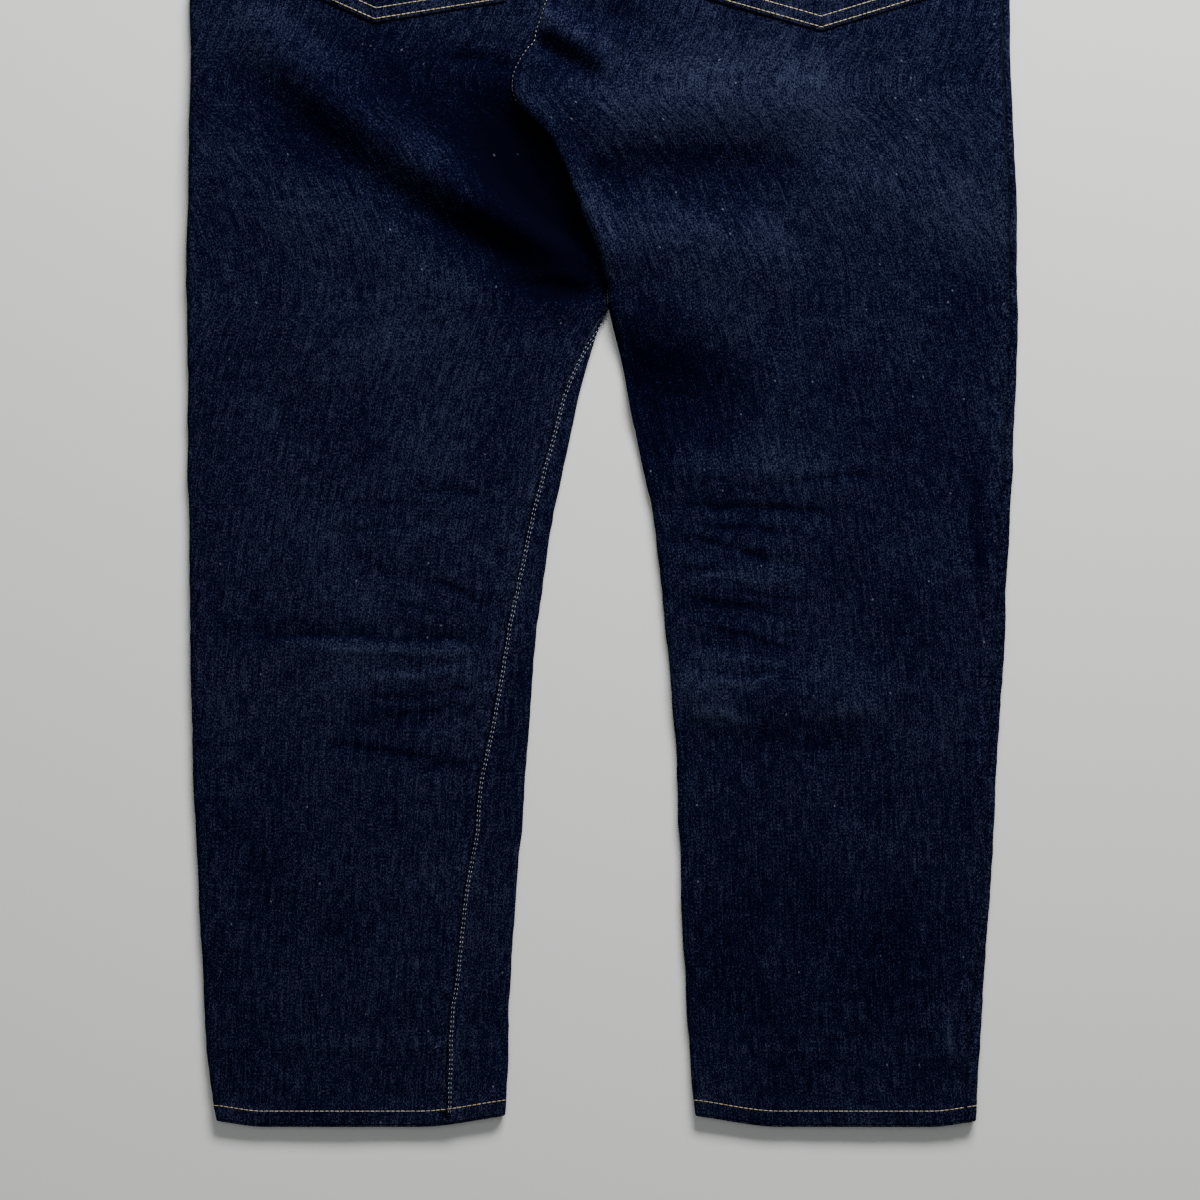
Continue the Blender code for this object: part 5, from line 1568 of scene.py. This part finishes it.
class JEANS_OT_fly_shield(bpy.types.Operator):
    """Lay the shield behind the closed fly"""
    bl_idname = "jeans.fly_shield"
    bl_label = "Fly shield"

    def execute(self, context):
        low = BAND_BOTTOM - FLY_LENGTH
        y = np.linspace(low, BAND_BOTTOM - SEAM_GAP, FLY_ROWS + 1)[:, None]
        share = np.linspace(-0.5, 0.5, FLY_STEPS + 1)[None, :]
        taper = FLY_POINT + (1 - FLY_POINT) * smooth(low, low + FLY_WIDTH, y)
        x = CROTCH_X + FLY_WIDTH * taper * share
        y = np.repeat(y, x.shape[1], axis=1)
        z = WALL / 2 + floor_rise(y) + WALL + FLY_GAP + 0.1 * drift(x, y, 14.0, 41)
        cloth = cloth_mesh("fly_shield", np.stack((x, y, z), axis=-1), x + WEFT_SHIELD,
                           y, WALL, (outer_cloth(),), same_marks(np.full_like(x, NO_SEAM)))
        return {"FINISHED"}


class JEANS_OT_belt_loops(bpy.types.Operator):
    """Tack the belt loops over the waistband"""
    bl_idname = "jeans.belt_loops"
    bl_label = "Belt loops"

    def execute(self, context):
        for name, sheet, x_mid in LOOPS:
            share = np.linspace(0.0, 1.0, LOOP_ROWS + 1)[:, None]
            across = np.linspace(-0.5, 0.5, LOOP_STEPS + 1)[None, :]
            points, _ = self.strap(sheet, x_mid, share, across)
            near = np.repeat((0.5 - np.abs(across)) * LOOP_WIDTH, len(points), axis=0)
            cloth = cloth_mesh(name, points, points[..., 0], points[..., 1], LOOP_WALL,
                               (outer_cloth("denim_band", 5),),
                               same_marks(near, 0.2 * np.exp(-near / 1.0)),
                               flip=sheet == BACK, rounded=0.5)
            lines = []
            for off in (-LOOP_ROW, LOOP_ROW):
                middle, out = self.strap(sheet, x_mid, np.linspace(0.03, 0.97, 40)[:, None],
                                         np.array([[off]]))
                lines.append((middle[:, 0] + out[:, 0] * LOOP_WALL / 2, out[:, 0]))
            for end in LOOP_TACKS:
                reach = np.linspace(-LOOP_TACK_HALF, LOOP_TACK_HALF, 24)[None, :]
                middle, out = self.strap(sheet, x_mid, np.array([[end]]), reach)
                lines.append((middle[0] + out[0] * (LOOP_WALL / 2 + 0.1), out[0], 0.9, 1.0))
            thread_piece(name + "_stitches", lines)
        return {"FINISHED"}

    def strap(self, sheet, x_mid, share, across):
        """Middle points and outward directions of one loop."""
        share, across = np.broadcast_arrays(share, across)
        y = WAIST_TOP - 0.5 - LOOP_LENGTH * share
        x = x_mid + LOOP_WIDTH * across
        stand = LOOP_STAND * np.sin(math.pi * share)**0.7
        off = BAND_WALL / 2 + LAYER_GAP + LOOP_WALL / 2 + stand
        face = BAND_HIGH + off if sheet == BACK else BAND_LOW - off
        points = np.stack((x, y, face + BAND_RISE), axis=-1)
        outs = np.zeros_like(points)
        outs[..., 2] = sheet
        return points, outs


class JEANS_OT_button(bpy.types.Operator):
    """Turn the waist button, with its rolled rim and dished face"""
    bl_idname = "jeans.button"
    bl_label = "Waist button"

    def execute(self, context):
        bm = bmesh.new()
        line = [bm.verts.new((radius * MM, 0.0, z * MM)) for radius, z in BUTTON_PROFILE]
        edges = [bm.edges.new(pair) for pair in zip(line, line[1:])]
        bmesh.ops.spin(bm, geom=line + edges, cent=(0, 0, 0), axis=(0, 0, 1),
                       angle=math.tau, steps=48, use_merge=True)
        bmesh.ops.remove_doubles(bm, verts=bm.verts, dist=MERGE)
        bmesh.ops.recalc_face_normals(bm, faces=bm.faces)
        bmesh.ops.translate(bm, verts=bm.verts, vec=(0.0, (BAND_BOTTOM + WAIST_TOP) / 2 * MM, 0.0))
        button = shown("waist_button_brass", bm, antique_brass("antique_brass"))
        finish(button, "brass", "waist_button")
        return {"FINISHED"}


class JEANS_OT_stage(bpy.types.Operator):
    """Lay a pale floor, hang soft lights and set the camera straight above"""
    bl_idname = "jeans.stage"
    bl_label = "Stage"

    def execute(self, context):
        stage = context.scene.jeans_stage
        bm = bmesh.new()
        bmesh.ops.create_grid(bm, x_segments=1, y_segments=1, size=6.0)
        bmesh.ops.translate(bm, verts=bm.verts, vec=(0.0, 0.0, FLOOR_LEVEL))
        floor = shown("floor", bm, matt_card("pale_matt_card", tuple(stage.floor)))
        for name, size, power, place_at, aim in LIGHTS:
            lamp = bpy.data.lights.new(name, "AREA")
            lamp.shape = "RECTANGLE"
            lamp.size, lamp.size_y = size
            lamp.energy = power
            obj = bpy.data.objects.new(name, lamp)
            obj.location = place_at
            away = Vector(place_at) - Vector(aim)
            obj.rotation_euler = away.to_track_quat("Z", "Y").to_euler()
            obj.visible_camera = False
            context.scene.collection.objects.link(obj)
        world = bpy.data.worlds.new("soft_room")
        context.scene.world = world
        world.use_nodes = True
        sky = world.node_tree.nodes["Background"]
        sky.inputs[0].default_value = (*linear("e6eaee"), 1.0)
        sky.inputs[1].default_value = WORLD_LIGHT
        lens = bpy.data.cameras.new("camera")
        lens.sensor_width = 36.0
        lens.lens = 36.0 * stage.camera_height / stage.view_width
        lens.clip_end = 50.0
        camera = bpy.data.objects.new("camera", lens)
        camera.location = (VIEW_X * MM, VIEW_Y * MM, stage.camera_height)
        context.scene.collection.objects.link(camera)
        context.scene.camera = camera
        return {"FINISHED"}


class JEANS_PT_panel(bpy.types.Panel):
    """Sizes, colours and pieces of the jeans"""
    bl_idname = "JEANS_PT_panel"
    bl_label = "Jeans"
    bl_space_type = "VIEW_3D"
    bl_region_type = "UI"
    bl_category = "Jeans"

    def draw(self, context):
        scene = context.scene
        for word in ("jeans_cloth", "jeans_sewing", "jeans_stage"):
            group = getattr(scene, word)
            for field in group.__annotations__:
                self.layout.prop(group, field)
        for made in OPERATORS:
            self.layout.operator(made.bl_idname)


OPERATORS = (JEANS_OT_stage, JEANS_OT_leg_panels, JEANS_OT_yokes, JEANS_OT_hems,
             JEANS_OT_back_pockets, JEANS_OT_pocket_facings, JEANS_OT_waistband,
             JEANS_OT_fly_shield, JEANS_OT_belt_loops, JEANS_OT_button)
CLASSES = (JeansCloth, JeansSewing, JeansStage) + OPERATORS + (JEANS_PT_panel,)


def register():
    for made in CLASSES:
        bpy.utils.register_class(made)
    bpy.types.Scene.jeans_cloth = PointerProperty(type=JeansCloth)
    bpy.types.Scene.jeans_sewing = PointerProperty(type=JeansSewing)
    bpy.types.Scene.jeans_stage = PointerProperty(type=JeansStage)


def unregister():
    for word in ("jeans_cloth", "jeans_sewing", "jeans_stage"):
        delattr(bpy.types.Scene, word)
    for made in reversed(CLASSES):
        bpy.utils.unregister_class(made)


def main():
    register()
    for made in OPERATORS:
        group, word = made.bl_idname.split(".")
        getattr(getattr(bpy.ops, group), word)()


if __name__ == "__main__":
    main()
